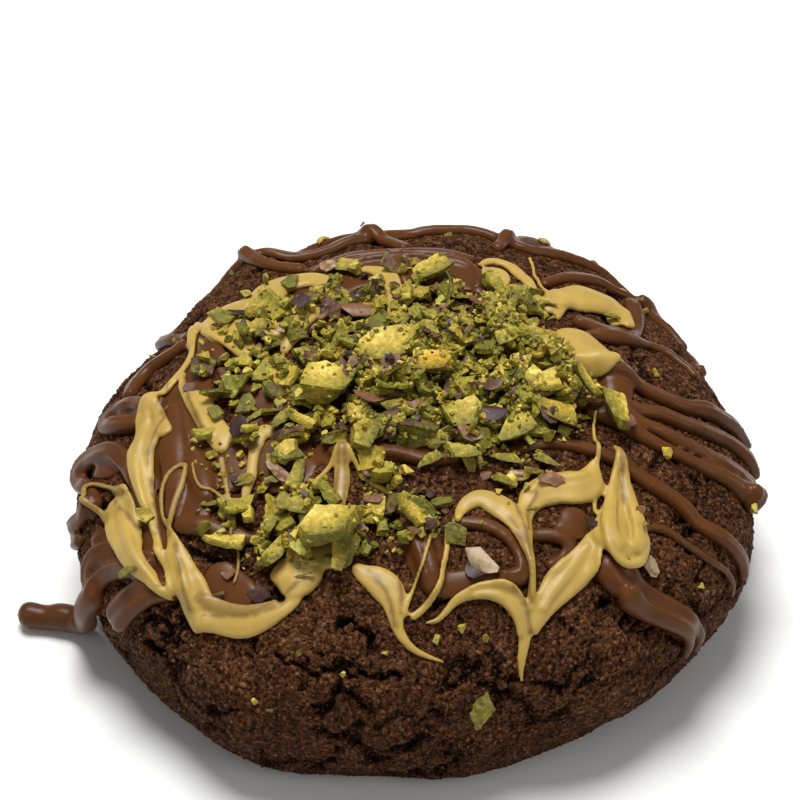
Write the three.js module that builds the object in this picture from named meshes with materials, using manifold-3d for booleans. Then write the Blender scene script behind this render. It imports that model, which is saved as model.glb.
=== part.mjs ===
// Thick chocolate cookie, drizzled with milk chocolate and feathered pistachio cream, and heaped
// with chopped pistachios. Millimetres, +Z up, the origin at the centre of the flat base.
//
// A place on the cookie is given as (x, y) on the unrolled top: the bearing is the direction from
// the middle, and the distance is the arc length walked down from the top over the dough.

import * as THREE from "three";
import { mergeVertices } from "three/addons/utils/BufferGeometryUtils.js";
import Module from "manifold-3d";

const wasm = await Module();
wasm.setup();

// ---- driving dimensions -------------------------------------------------------------------------

const WAIST_RADIUS = 50;
const BASE_RADIUS = 43.5;
const HEIGHT = 35;
const WAIST_HEIGHT = 13;
const DOME_EXPONENT = 2.15;

// How far the outline swells and draws in round the cookie: waves per turn, size, bearing of a crest.
const OUTLINE_WAVES = [
  { waves: 2, size: 1.55, crest: 63 },
  { waves: 3, size: 1.35, crest: 93 },
  { waves: 4, size: 0.65, crest: -12 },
];

// Mounds (rise above 0) and hollows (below 0) baked into the dough.
const MOUNDS = [
  { x: -25, y: 37, reach: 8, rise: 2.2 },
  { x: -17, y: 38, reach: 5, rise: -1.6 },
  { x: 36, y: 20, reach: 6, rise: -1.8 },
  { x: 34, y: -46, reach: 11, rise: 1.4 },
  { x: 15, y: -56, reach: 7, rise: -1.2 },
  { x: -12, y: -45, reach: 9, rise: 0.8 },
  { x: 45, y: -15, reach: 8, rise: 0.8 },
  { x: -30, y: -52, reach: 10, rise: 0.9 },
];

const MOUND_FADE = 8;

const DOUGH_BEARINGS = 36;
const DOUGH_SIDE_ROWS = 17;
const DOUGH_BASE_ROWS = 3;

// Room kept between two pieces, and how high the underside of what lies on the dough stays over it,
// which leaves that room also where a straight facet cuts across the curve of the dough.
const GAP = 0.3;
const UNDERSIDE = 0.55;

const ROPE_STEP = 6;
const ROPE_SIDES = 6;
const ROPE_END = 0.55;
const THINNEST_ROPE = 1;
const CHOCOLATE_FULLNESS = 0.62;
const CHOCOLATE_TALLEST = 2.4;
const CREAM_FILM = 0.8;
const CREAM_FULLNESS = 0.14;
const SMALLEST_BODY = 6;

const HEAP = { x: 3, y: -3.5, reachX: 24, reachY: 20, thickness: 3.2, edge: 1 };
const HEAP_EDGE_WAVES = [
  { waves: 3, size: 0.1, crest: -11 },
  { waves: 5, size: 0.07, crest: 13 },
];
const HEAP_BUMP = { height: 0.5, perX: 0.9, perY: 0.8 };
const HEAP_BEARINGS = 18;
const HEAP_ROWS = 8;

// ---- routes of the drizzle: [x, y, width] on the unrolled top -----------------------------------

const CHOCOLATE_ROPES = {
  // across the right-hand side
  rightFarCurl: [
    [4, 16, 2.4], [14, 15.6, 2.6], [23.5, 14.6, 3], [28, 14.6, 3], [31.5, 15.8, 3], [35, 17, 2.6],
    [39, 17.6, 2.4],
  ],
  rightFirst: [
    [16, 2.4, 2.4], [26, 2.6, 3], [31, 2.6, 3], [36, 1.6, 3], [40, 0.9, 3], [44, 2.3, 3.2],
    [50, 4, 3.2], [58, 5, 2.8],
  ],
  rightSecond: [
    [18, -4.4, 2.4], [27, -4, 2.6], [32, -3.2, 2.4], [36, -2.6, 3], [40, -3.4, 3.2], [44, -2.9, 3],
    [48, -1.9, 3], [57, -3.4, 2.8],
  ],
  rightThird: [
    [26, -4.6, 2.4], [34, -6, 2.4], [38, -7.2, 2.8], [43, -8, 2.8], [48, -7.9, 3.2], [52, -7.6, 4],
    [54.6, -8.4, 4],
  ],
  rightFourth: [
    [24, -6, 2.4], [32, -8.6, 2.6], [36, -9.9, 2.4], [41, -11, 2.4], [45.5, -11.2, 2.8],
    [49.5, -11, 4.4], [53.4, -9.4, 4],
  ],
  rightDrip: [
    [50.6, -9.6, 4.6], [51.4, -12, 3.4], [50.8, -14, 2.2],
  ],
  rightLong: [
    [8, -15.6, 2], [15, -13.9, 1.8], [19, -12.5, 2.2], [24, -12.9, 2.4], [28.5, -13.8, 2.6],
    [33, -16.3, 3], [37, -18.3, 3], [41, -20.7, 3], [46, -21.8, 3], [50.5, -22.8, 2.8],
    [52.6, -24.2, 2.2],
  ],
  rightPool: [
    [26, -27, 4], [28.6, -31.4, 6], [30.4, -34, 6], [34, -34.8, 4.6], [39, -35.2, 3.8],
    [43.5, -35.4, 2.6], [47, -36.8, 2.2], [49.4, -38.8, 1.8],
  ],
  rightPoolTwin: [
    [28.4, -35.6, 4.6], [32, -36.9, 3.2], [37, -37.1, 2.8], [41, -37.1, 2.4], [44, -38.3, 2],
    [45.6, -40.6, 1.7],
  ],
  underBlob: [
    [27, 6, 4], [29.2, 3, 5], [28.8, -3, 4], [27.6, -8, 3],
  ],
  // across the middle, under the cream and the nuts
  middleBend: [
    [-1, -18, 2.2], [5, -26.6, 2.2], [10, -28.2, 2.4], [12.6, -29.4, 2.4], [14.4, -32.4, 2.6],
    [13.4, -35.4, 3.2], [10.6, -35.6, 2.4],
  ],
  middleRing: [
    [12.8, -29.4, 2.2], [15.4, -28.4, 2.2], [18.4, -28.6, 2.6], [21.2, -29.4, 2.4], [20.6, -31.8, 2],
    [18.4, -33.6, 2.2], [14.4, -35, 2.4],
  ],
  middlePool: [
    [5, -26.6, 2.2], [1.6, -28.6, 3], [0.8, -31.6, 3.6], [1.8, -35.4, 3.8], [2.4, -38.6, 2.4],
  ],
  leftBand: [
    [-34.6, -6, 4], [-34, -10.8, 4.6], [-33.4, -15.2, 4], [-32.6, -19.8, 3.4], [-32.8, -24, 2.8],
  ],
  leftBandTwin: [
    [-31, -10, 3], [-29.4, -16.8, 3.2], [-28.2, -20.8, 2.8], [-29, -25, 2.8],
  ],
  underBowl: [
    [-33, -24.4, 2.8], [-29, -25.4, 3], [-25, -26.4, 2.8], [-21, -27.4, 2.4], [-14, -26, 2.4],
    [-1, -18, 2.4],
  ],
  bowlPool: [
    [-26, -27, 2.4], [-26, -32.6, 3.4], [-24, -35.4, 4], [-21, -36.8, 3],
  ],
  leftFarBand: [
    [-36, 19, 2.6], [-34.6, 15, 3], [-32, 11.4, 4], [-30, 7, 4], [-28, 2, 3], [-33, -2, 3.4],
    [-34.6, -6, 3.6],
  ],
  // loops hanging over the left-hand edge
  leftCurl: [
    [-34.6, -6, 2.8], [-37, -2.8, 2.8], [-40, -0.4, 2.8], [-43, 2, 2.8], [-46, 3.6, 2.8],
    [-48.6, 3.8, 2.8], [-48.4, 2, 2.8], [-46, 0.6, 2.8], [-43.4, -0.8, 3], [-40, -2, 3],
  ],
  leftLoop: [
    [-33.4, -24, 2.4], [-37.6, -19.6, 2.4], [-38.8, -16.2, 2.8], [-40.2, -13, 3.2], [-42, -9.8, 3.4],
    [-44.4, -7, 3.8], [-48, -5, 3.8], [-51.6, -3.6, 3.8], [-54, -3.8, 3.6], [-53.2, -6, 3.2],
    [-51, -8.4, 2.8], [-48.8, -11, 2.6], [-47.4, -14, 2.8], [-47.8, -17, 2.8],
  ],
  leftLowLoop: [
    [-38, -19, 2.4], [-45, -16, 2.6], [-48.6, -16.4, 3], [-52, -15.6, 3], [-55.6, -14.8, 2.8],
    [-56.4, -16.4, 2.8], [-53.4, -18.4, 2.6], [-50, -20, 2.4],
  ],
  leftRope: [
    [-33.4, -26, 2.6], [-37, -25.6, 2.8], [-41, -24, 3.6], [-44.6, -22.9, 4.2], [-47.4, -23.2, 4.4],
    [-48.6, -25.2, 4], [-49, -27, 3],
  ],
  leftRopeTwin: [
    [-37, -25.6, 2.4], [-40, -27.2, 2.6], [-43.2, -26.4, 3], [-46.6, -26.6, 3], [-48.6, -27.6, 2.8],
  ],
  leftFrontRope: [
    [-30, -31, 3], [-33, -32.4, 3.2], [-36.8, -31.8, 4.6], [-40.4, -31.8, 5.6], [-44, -32.4, 6.4],
    [-46.6, -34.2, 6.2],
  ],
  // along the far edge, and down the far side
  farRim: [
    [-17, 29.6, 3], [-12, 31.6, 3.4], [-6, 32, 3.4], [0, 31.6, 3.2], [5, 30.8, 3], [9, 29.2, 2.6],
    [9.4, 24, 2.2], [6, 17, 2.4],
  ],
  farRimTwin: [
    [-36, 19, 2.6], [-30, 26, 2.6], [-24, 30, 2.6], [-17, 29.4, 2.8], [-6, 29, 2.4], [1, 28.6, 2.6],
    [8, 29.4, 2.4],
  ],
  farWave: [
    [9.6, 26, 2.2], [16, 24.6, 2], [22, 27.4, 2.4], [26, 29.8, 2.8], [30, 31.2, 2.6], [38, 31, 2.4],
    [46, 28, 2.4],
  ],
  farGarland: [
    [-40, 14, 2.4], [-45, 24, 2.8], [-42, 36, 2.8], [-30, 40, 2.8], [-16, 37, 2.8], [0, 40, 2.8],
    [14, 38, 2.8], [26, 42, 2.8], [40, 40, 2.6],
  ],
  farHook: [
    [40, 40, 2.8], [43, 36, 2.8], [38, 31, 2.6],
  ],
};

// The tongue of chocolate that ran down to the foot and set there: [x, y, z, thickness] in space.
const CHOCOLATE_FOOT = [
  [-46.8, -23.4, 13.2, 2.6],
  [-47.5, -22, 10, 3],
  [-47.6, -20, 5.6, 3.2],
  [-48.2, -17.9, 2.7, 3.8],
  [-51, -17.2, 2.3, 4.2],
  [-54.4, -16.8, 2.2, 3.9],
  [-57, -16.5, 2.3, 4.3],
  [-58.9, -16.3, 2.3, 4],
];

const CREAM_RIBBONS = {
  // left-hand side: the long arc, its twin, the wing and the bowl at their feet
  longArc: [
    [-35.6, 24, 3], [-36.2, 18, 1.8], [-35.6, 12, 1.6], [-35, 8.2, 1.6], [-36.6, 4.6, 3.2],
    [-38.5, 1, 4.8], [-39.2, -3, 5.2], [-39.3, -7, 4.4], [-38.8, -11, 3.4], [-38, -15, 2.8],
    [-37, -19, 2.2], [-36, -23, 1.8], [-35.2, -26.8, 1.6], [-34, -30.4, 1.4], [-32.7, -33.8, 1],
  ],
  shortArc: [
    [-35, 8.2, 1.6], [-34, 3.1, 1.8], [-32.6, -0.1, 2.8], [-30.8, -3.2, 3.4], [-29, -6.3, 3.6],
    [-27.4, -9.5, 3], [-26.2, -11.8, 1.4],
  ],
  wing: [
    [-45.4, -15.4, 3], [-42.8, -16.4, 6.2], [-40.6, -19.2, 5.2], [-38.6, -22.4, 3.6],
    [-36.5, -26.2, 2.6], [-34.8, -29.7, 1.8], [-32.8, -33.6, 1.2],
  ],
  bowl: [
    [-33.3, -24.6, 1.4], [-32.6, -27.7, 2.4], [-31.6, -30.8, 3.4], [-30.3, -33.9, 4.6],
    [-28.4, -36.7, 4.6], [-25, -38.4, 3.2], [-21.4, -38.9, 2.8], [-18, -37.5, 2.4], [-15.2, -35.9, 2.4],
    [-16, -33.4, 4.4], [-18.4, -32.2, 3.4],
  ],
  spikes: [
    [-16.4, -32.4, 3.6], [-14.4, -30.6, 4], [-11.6, -30.8, 3], [-8.4, -32.8, 2], [-6.4, -34.6, 2.6],
    [-4.6, -36.4, 3.4], [-3.2, -38.6, 3.4], [-2.4, -41, 2.6], [-1.3, -43.3, 1.8], [1.2, -45.6, 1.3],
  ],
  // feathered middle
  feather: [
    [-20.2, -8.7, 1.8], [-22.1, -10.4, 2.4], [-23.1, -14.2, 1.6], [-22.9, -17, 1.9],
    [-23.7, -18.9, 1.5], [-23, -22.7, 1.3],
  ],
  fanStem: [
    [-9.6, -12.6, 1.4], [-9.8, -16.8, 2.2], [-9.8, -20.7, 2.4], [-9.6, -24.8, 1.8],
  ],
  // right-hand side: the arch, the leaf, the bar, the feather and the drop
  arch: [
    [2.3, -41.5, 1.2], [4.6, -39.6, 1.7], [6.6, -38, 2.2], [8.8, -37.4, 2.6], [11.5, -37.6, 2.8],
    [13.5, -39.1, 2.8], [14.8, -41.2, 2.4], [15.4, -44, 1.8], [15.4, -47, 1.4],
  ],
  leaf: [
    [24, -28.2, 2.4], [23, -31.5, 4.6], [21.2, -34, 5.4], [19.3, -36.7, 4.6], [17.7, -39.2, 3.4],
    [16.2, -42.1, 2.4], [15.5, -45, 1.8],
  ],
  bar: [
    [25.2, -11.6, 1.4], [24.9, -16.2, 2.8], [23.5, -19.3, 5.6], [20.5, -20.5, 5.2], [17.6, -21.3, 4.6],
    [16.1, -23.2, 3], [15.6, -26, 1.9], [15.6, -30.8, 1.4], [15.9, -34.6, 1.2], [16, -39.4, 1.2],
  ],
  quill: [
    [7.2, -23.4, 2.6], [9.4, -23.4, 4], [11.4, -25.2, 3.6], [13.3, -28.6, 2.4], [15, -33.5, 1.4],
  ],
  drop: [
    [27.9, -11.1, 1.2], [28.4, -15, 2.6], [28.7, -19, 4], [29, -23, 5.6], [29.2, -26.6, 7.2],
    [29, -29, 6],
  ],
  blob: [
    [21.6, 13.4, 2], [23.6, 10.6, 4.2], [25.8, 7.6, 6.2], [26.4, 4.8, 6.4], [25.6, 2.4, 4.6],
  ],
  // far side
  farBar: [
    [19, 16.6, 1.8], [20.4, 18.6, 2.2], [23.6, 21.8, 3.6], [27.2, 24.2, 4.6], [30.8, 26.2, 5],
    [33.4, 26.6, 4.2],
  ],
  farCurl: [
    [10.4, 20, 1.6], [10.3, 23.8, 1.9], [12, 26, 2], [13.5, 23.8, 2], [12.2, 19.8, 2],
    [11.6, 16.6, 1.8],
  ],
  farHoop: [
    [8.9, 26, 1.4], [9.4, 28.2, 1.6], [11.6, 29.4, 1.6], [13.8, 28.6, 1.6], [16.2, 25.6, 1.6],
    [18, 21.6, 1.6], [19.4, 17.6, 1.8],
  ],
  farHook: [
    [-14.6, 26, 1.6], [-17.4, 26.8, 2.6], [-21.4, 26.4, 4.2], [-23.6, 23.4, 4.8], [-23.2, 18.6, 4],
    [-21.8, 13, 3], [-20.4, 8.4, 3], [-20, 5.8, 2.2],
  ],
  farWing: [
    [-36, 24.6, 3.6], [-33, 24.6, 4.2], [-29.6, 22.2, 4.2], [-27.4, 19.4, 3], [-26.2, 17, 1.6],
  ],
  farStrip: [
    [-35.6, 15.8, 1.8], [-31.6, 13.2, 2.6], [-29.2, 10.4, 3], [-27, 7.2, 2.6], [-24.8, 4, 1.6],
  ],
};

// ---- the largest pistachio pieces: place, size and turn of each ---------------------------------

const NUT_CHUNKS = [
  { x: -11.3, y: -5.8, long: 8.6, wide: 6.4, turn: 70, cut: 0.55 },
  { x: -3.8, y: -0.5, long: 7.8, wide: 6.4, turn: -15, cut: 0.5 },
  { x: 2.9, y: -4.2, long: 6, wide: 4.8, turn: 20, cut: 0.7 },
  { x: -3.2, y: -11.9, long: 5.2, wide: 3.8, turn: -65, cut: 0.7 },
  { x: -7, y: -16.4, long: 5.2, wide: 4.2, turn: 75, cut: 0.65 },
  { x: 16, y: 3.5, long: 6.4, wide: 4.8, turn: 5, cut: 0.6 },
  { x: 27.6, y: -9, long: 6.4, wide: 5, turn: 60, cut: 0.5 },
  { x: 19, y: -9.7, long: 6.2, wide: 4.6, turn: -12, cut: 0.6 },
  { x: -10.9, y: -29.3, long: 8.2, wide: 6.4, turn: -10, cut: 0.5 },
  { x: -16.6, y: -24.6, long: 5.8, wide: 3.2, turn: -8, cut: 0.6 },
  { x: -24.3, y: -28.4, long: 6.6, wide: 2.6, turn: -12, cut: 0.4 },
  { x: 2, y: 17.6, long: 7.4, wide: 5.4, turn: 80, cut: 0.35 },
  { x: 14.6, y: 12.2, long: 6, wide: 3.4, turn: 65, cut: 0.4 },
  { x: 13.8, y: -15, long: 5.4, wide: 4, turn: 25, cut: 0.5 },
  { x: 1.8, y: 6.8, long: 5, wide: 3.8, turn: 80, cut: 0.55 },
  { x: 22, y: -3.6, long: 5.6, wide: 4, turn: -20, cut: 0.35 },
  { x: 7, y: -10.8, long: 6, wide: 5, turn: 100, cut: 0.6 },
  { x: -9, y: 20.6, long: 5.2, wide: 3.8, turn: 50, cut: 0.4 },
];

// How deep a piece sits in the heap, and the two knife cuts through each: their tilts in degrees, and
// how far from the middle they pass, as shares of the piece's width and length at a full cut.
const CHUNK_SUNK = 0.6;
const CHUNK_SEAT = 0.45;
const SLICE_TILT = 18;
const SLICE_HEIGHT = 0.42;
const BREAK_TURN = 14;
const BREAK_REACH = 0.62;

// ---- the dough's form ---------------------------------------------------------------------------

const radians = THREE.MathUtils.degToRad;

/** The dough's side view from the top pole over the waist and the foot to the middle of the base. */
function sideView() {
  const points = [];
  const steps = 60;
  for (let i = 0; i <= steps; i += 1) {
    const angle = (Math.PI / 2) * (1 - i / steps);
    const radius = WAIST_RADIUS * Math.max(Math.cos(angle), 0) ** (2 / DOME_EXPONENT);
    const height = WAIST_HEIGHT + (HEIGHT - WAIST_HEIGHT) * Math.sin(angle) ** (2 / DOME_EXPONENT);
    points.push(new THREE.Vector2(radius, height));
  }
  for (let i = 1; i <= steps / 2; i += 1) {
    const angle = (Math.PI / 2) * (1 - (2 * i) / steps);
    const radius = BASE_RADIUS + (WAIST_RADIUS - BASE_RADIUS) * Math.sin(angle);
    points.push(new THREE.Vector2(radius, WAIST_HEIGHT * (1 - Math.cos(angle))));
  }
  points.push(new THREE.Vector2(0, 0));
  return points;
}

const SIDE = sideView();
const SIDE_LENGTHS = SIDE.map(() => 0);
for (let i = 1; i < SIDE.length; i += 1) {
  SIDE_LENGTHS[i] = SIDE_LENGTHS[i - 1] + SIDE[i].distanceTo(SIDE[i - 1]);
}
const FOOT_LENGTH = SIDE_LENGTHS[SIDE.length - 2];
const FULL_LENGTH = SIDE_LENGTHS[SIDE.length - 1];

/** Radius and height of the side view, this far down from the pole. */
function sideAt(length) {
  const wanted = Math.min(Math.max(length, 0), FULL_LENGTH);
  let i = 1;
  while (i < SIDE.length - 1 && SIDE_LENGTHS[i] < wanted) {
    i += 1;
  }
  const share = (wanted - SIDE_LENGTHS[i - 1]) / (SIDE_LENGTHS[i] - SIDE_LENGTHS[i - 1]);
  return SIDE[i - 1].clone().lerp(SIDE[i], share);
}

/** How much wider than its mean the outline is at a bearing in radians. */
function outline(bearing) {
  let factor = 1;
  for (const { waves, size, crest } of OUTLINE_WAVES) {
    factor += (size / WAIST_RADIUS) * Math.cos(waves * (bearing - radians(crest)));
  }
  return factor;
}

/** Height of the mounds over the plain form at a place of the unrolled top. */
function moundAt(x, y) {
  let rise = 0;
  for (const mound of MOUNDS) {
    const away = Math.hypot(x - mound.x, y - mound.y) / mound.reach;
    rise += mound.rise * Math.exp(-away * away);
  }
  const fade = Math.min(Math.max((FOOT_LENGTH - Math.hypot(x, y)) / MOUND_FADE, 0), 1);
  return rise * fade;
}

/** The point on the plain dough, without mounds, for a place of the unrolled top. */
function plainPoint(x, y) {
  const bearing = Math.atan2(y, x);
  const side = sideAt(Math.hypot(x, y));
  const share = Math.min(side.x / WAIST_RADIUS, 1);
  const radius = side.x * (1 + (outline(bearing) - 1) * share);
  return new THREE.Vector3(radius * Math.cos(bearing), radius * Math.sin(bearing), side.y);
}

/** The dough's outward direction at a place of the unrolled top. */
function outwardAt(x, y) {
  const reach = 0.4;
  const along = plainPoint(x + reach, y).sub(plainPoint(x - reach, y));
  const across = plainPoint(x, y + reach).sub(plainPoint(x, y - reach));
  return along.cross(across).normalize();
}

/** The point this far above the dough. */
function doughPoint(x, y, lift = 0) {
  return plainPoint(x, y).addScaledVector(outwardAt(x, y), moundAt(x, y) + lift);
}

// ---- solids and meshes --------------------------------------------------------------------------

/** The closed solid of a geometry, its shared vertices merged. */
function solidOf(geometry) {
  geometry.deleteAttribute("normal");
  geometry.deleteAttribute("uv");
  const merged = mergeVertices(geometry, 1e-4);
  const vertProperties = new Float32Array(merged.attributes.position.array);
  const triVerts = new Uint32Array(merged.index.array);
  return new wasm.Manifold(new wasm.Mesh({ numProp: 3, vertProperties, triVerts }));
}

/** The geometry of a solid. */
function geometryOf(solid) {
  const { vertProperties, triVerts } = solid.getMesh();
  const geometry = new THREE.BufferGeometry();
  geometry.setAttribute("position", new THREE.BufferAttribute(vertProperties, 3));
  geometry.setIndex(new THREE.BufferAttribute(triVerts, 1));
  geometry.computeVertexNormals();
  return geometry;
}

/** Moves every vertex of a geometry to where a function of its old place puts it. */
function reshape(geometry, place) {
  const position = geometry.attributes.position;
  const vertex = new THREE.Vector3();
  for (let i = 0; i < position.count; i += 1) {
    vertex.fromBufferAttribute(position, i);
    const moved = place(vertex);
    position.setXYZ(i, moved.x, moved.y, moved.z);
  }
  return geometry;
}

function joined(solids) {
  return solids.reduce((whole, solid) => whole.add(solid));
}

/** The separate bodies of a solid, largest first, without chips too small to stand alone. */
function bodiesOf(solid) {
  const bodies = solid.decompose().filter((body) => body.volume() > SMALLEST_BODY);
  return bodies.sort((first, second) => second.volume() - first.volume());
}

// ---- the pieces ---------------------------------------------------------------------------------

/** The baked dough; its top and side are grown outwards by this much where it cuts a neighbour. */
function doughSolid(grown = 0) {
  const rows = DOUGH_SIDE_ROWS + DOUGH_BASE_ROWS;
  const ball = new THREE.SphereGeometry(1, DOUGH_BEARINGS, rows);
  ball.rotateX(Math.PI / 2);
  return solidOf(
    reshape(ball, (vertex) => {
      const row = Math.round((Math.acos(THREE.MathUtils.clamp(vertex.z, -1, 1)) / Math.PI) * rows);
      const side = Math.min(row / DOUGH_SIDE_ROWS, 1) * FOOT_LENGTH;
      const base = (Math.max(row - DOUGH_SIDE_ROWS, 0) / DOUGH_BASE_ROWS) * (FULL_LENGTH - FOOT_LENGTH);
      const bearing = Math.atan2(vertex.y, vertex.x);
      const x = (side + base) * Math.cos(bearing);
      const y = (side + base) * Math.sin(bearing);
      return row < DOUGH_SIDE_ROWS ? doughPoint(x, y, grown) : plainPoint(x, y);
    }),
  );
}

/** Evenly spaced samples of a smooth route; its last coordinate, the width, is smoothed with it. */
function sampled(route, step) {
  const points = route.map((point) => new THREE.Vector3(...point));
  const curve = new THREE.CatmullRomCurve3(points, false, "centripetal");
  const count = Math.max(2, Math.ceil(curve.getLength() / step));
  return curve.getSpacedPoints(count);
}

/** A closed tube through rings: each ring says where the tube's section stands at that step. */
function tubeSolid(rings) {
  const tube = new THREE.CylinderGeometry(1, 1, 1, ROPE_SIDES, rings.length - 1);
  return solidOf(
    reshape(tube, (vertex) => {
      const ring = rings[Math.round((0.5 - vertex.y) * (rings.length - 1))];
      const across = ring.side.clone().multiplyScalar(vertex.x * ring.halfWidth);
      const up = ring.up.clone().multiplyScalar(vertex.z * ring.halfHeight);
      return ring.centre.clone().add(across).add(up);
    }),
  );
}

/** The ends of a rope are rounded off: its first and last rings are this share of the full size. */
function endShare(index, count) {
  return index === 0 || index === count - 1 ? ROPE_END : 1;
}

/** Rings for a topping laid on the dough, between the lifts that two functions give. */
function laidRings(route, grown, underOf, thicknessOf) {
  const samples = sampled(route, ROPE_STEP);
  return samples.map((sample, i) => {
    const before = samples[Math.max(i - 1, 0)];
    const after = samples[Math.min(i + 1, samples.length - 1)];
    const along = doughPoint(after.x, after.y).sub(doughPoint(before.x, before.y)).normalize();
    const up = outwardAt(sample.x, sample.y);
    const side = up.clone().cross(along).normalize();
    const width = Math.max(sample.z, THINNEST_ROPE) * endShare(i, samples.length);
    const thickness = thicknessOf(width);
    return {
      centre: doughPoint(sample.x, sample.y, underOf(sample.x, sample.y, width) + thickness / 2),
      side,
      up,
      halfWidth: width / 2 + grown,
      halfHeight: thickness / 2 + grown,
    };
  });
}

function chocolateThickness(width) {
  return Math.min(CHOCOLATE_FULLNESS * width, CHOCOLATE_TALLEST);
}

function creamThickness(width) {
  return CREAM_FILM + CREAM_FULLNESS * width;
}

/** The lift at which something of this width clears the dough and the chocolate under it. */
const chocolateSamples = Object.values(CHOCOLATE_ROPES).flatMap((route) => sampled(route, 1.5));
function overChocolate(x, y, width) {
  let lift = UNDERSIDE;
  for (const sample of chocolateSamples) {
    const away = Math.hypot(sample.x - x, sample.y - y) - width / 2;
    const half = sample.z / 2;
    if (away < half) {
      const share = Math.max(away, 0) / half;
      const crown = chocolateThickness(sample.z) * Math.sqrt(1 - share * share);
      lift = Math.max(lift, UNDERSIDE + crown + GAP);
    }
  }
  return lift;
}

/** All the ropes of chocolate that lie on the dough, grown by this much to cut their neighbours. */
function chocolateSolid(grown = 0) {
  const under = () => UNDERSIDE;
  const rope = (route) => tubeSolid(laidRings(route, grown, under, chocolateThickness));
  return joined(Object.values(CHOCOLATE_ROPES).map(rope));
}

/** The rope that runs down the side of the dough and out along the table. */
function footSolid() {
  const places = new THREE.CatmullRomCurve3(
    CHOCOLATE_FOOT.map(([x, y, z]) => new THREE.Vector3(x, y, z)),
    false,
    "centripetal",
  );
  const steps = CHOCOLATE_FOOT.length * 2 - 2;
  const rings = [];
  for (let i = 0; i <= steps; i += 1) {
    const share = i / steps;
    const along = places.getTangent(share);
    const side = new THREE.Vector3(0, 1, 0).cross(along).normalize();
    const up = along.clone().cross(side).normalize();
    const position = share * (CHOCOLATE_FOOT.length - 1);
    const low = Math.min(Math.floor(position), CHOCOLATE_FOOT.length - 2);
    const thick = THREE.MathUtils.lerp(CHOCOLATE_FOOT[low][3], CHOCOLATE_FOOT[low + 1][3], position - low);
    const half = (thick / 2) * endShare(i, steps + 1);
    rings.push({ centre: places.getPoint(share), side, up, halfWidth: half, halfHeight: half });
  }
  return tubeSolid(rings);
}

/** All the ribbons of cream, which pass over the chocolate. */
function creamSolid(grown = 0) {
  const ribbon = (route) => tubeSolid(laidRings(route, grown, overChocolate, creamThickness));
  return joined(Object.values(CREAM_RIBBONS).map(ribbon));
}

/** Where a place of the unrolled top lies in the heap: 0 in its middle, 1 at its uneven edge. */
function heapShare(x, y) {
  const across = (x - HEAP.x) / HEAP.reachX;
  const along = (y - HEAP.y) / HEAP.reachY;
  return Math.hypot(across, along) / heapEdge(Math.atan2(along, across));
}

/** How far the heap's uneven edge reaches at a bearing, as a share of its mean reach. */
function heapEdge(bearing) {
  let reach = 1;
  for (const { waves, size, crest } of HEAP_EDGE_WAVES) {
    reach += size * Math.cos(waves * (bearing - radians(crest)));
  }
  return reach;
}

/** Thickness of the heap, which is bumpy inside and thins out to its edge. */
function heapThickness(x, y) {
  const share = Math.min(heapShare(x, y), 1);
  const bump = HEAP_BUMP.height * Math.sin(x * HEAP_BUMP.perX) * Math.cos(y * HEAP_BUMP.perY);
  const middle = HEAP.thickness - HEAP.edge + bump * (1 - share);
  return HEAP.edge + middle * Math.sqrt(1 - share * share);
}

/** Uneven mound of finely chopped nuts over the middle of the cookie. */
function heapSolid() {
  const ball = new THREE.SphereGeometry(1, HEAP_BEARINGS, HEAP_ROWS);
  ball.rotateX(Math.PI / 2);
  return solidOf(
    reshape(ball, (vertex) => {
      const bearing = Math.atan2(vertex.y, vertex.x);
      const reach = Math.min(Math.hypot(vertex.x, vertex.y), 1) * heapEdge(bearing);
      const x = HEAP.x + HEAP.reachX * reach * Math.cos(bearing);
      const y = HEAP.y + HEAP.reachY * reach * Math.sin(bearing);
      const lift = vertex.z > -0.01 ? heapThickness(x, y) : 0;
      return doughPoint(x, y, UNDERSIDE + lift);
    }),
  );
}

/** One coarse piece of kernel: a rounded kernel end with two knife cuts. */
function chunkSolid({ x, y, long, wide, turn, cut }, grown = 0) {
  const kernel = new THREE.IcosahedronGeometry(1, 0);
  kernel.scale(long / 2 + grown, wide / 2 + grown, wide / 2 + grown);
  const slice = new THREE.BoxGeometry(long * 2, wide * 2, wide * 2);
  slice.rotateY(radians(SLICE_TILT));
  slice.translate(0, 0, wide * (1 + cut * SLICE_HEIGHT) + grown);
  const breakEnd = new THREE.BoxGeometry(long, wide * 3, wide * 3);
  breakEnd.rotateZ(radians(BREAK_TURN));
  breakEnd.translate(long * (0.5 + cut * BREAK_REACH) + grown, 0, 0);
  const whole = solidOf(kernel).subtract(solidOf(slice)).subtract(solidOf(breakEnd));
  const up = outwardAt(x, y);
  const upright = new THREE.Quaternion().setFromUnitVectors(new THREE.Vector3(0, 0, 1), up);
  const spun = new THREE.Quaternion().setFromAxisAngle(new THREE.Vector3(0, 0, 1), radians(turn));
  const inHeap = heapShare(x, y) < 1 ? heapThickness(x, y) * (1 - CHUNK_SUNK) : 0;
  const seat = Math.max(overChocolate(x, y, wide), UNDERSIDE + inHeap);
  const place = new THREE.Matrix4().compose(
    doughPoint(x, y, seat + wide * CHUNK_SEAT),
    upright.multiply(spun),
    new THREE.Vector3(1, 1, 1),
  );
  return whole.transform(place.elements);
}

// ---- materials ----------------------------------------------------------------------------------

const FINISHES = {
  dough: { color: 0x3f2718, roughness: 0.92, metalness: 0 },
  chocolate: { color: 0x4b2d1c, roughness: 0.42, metalness: 0 },
  cream: { color: 0xc2a45c, roughness: 0.5, metalness: 0 },
  heap: { color: 0x8f8134, roughness: 0.75, metalness: 0 },
  chunk: { color: 0xb0a44a, roughness: 0.6, metalness: 0 },
};

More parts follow.
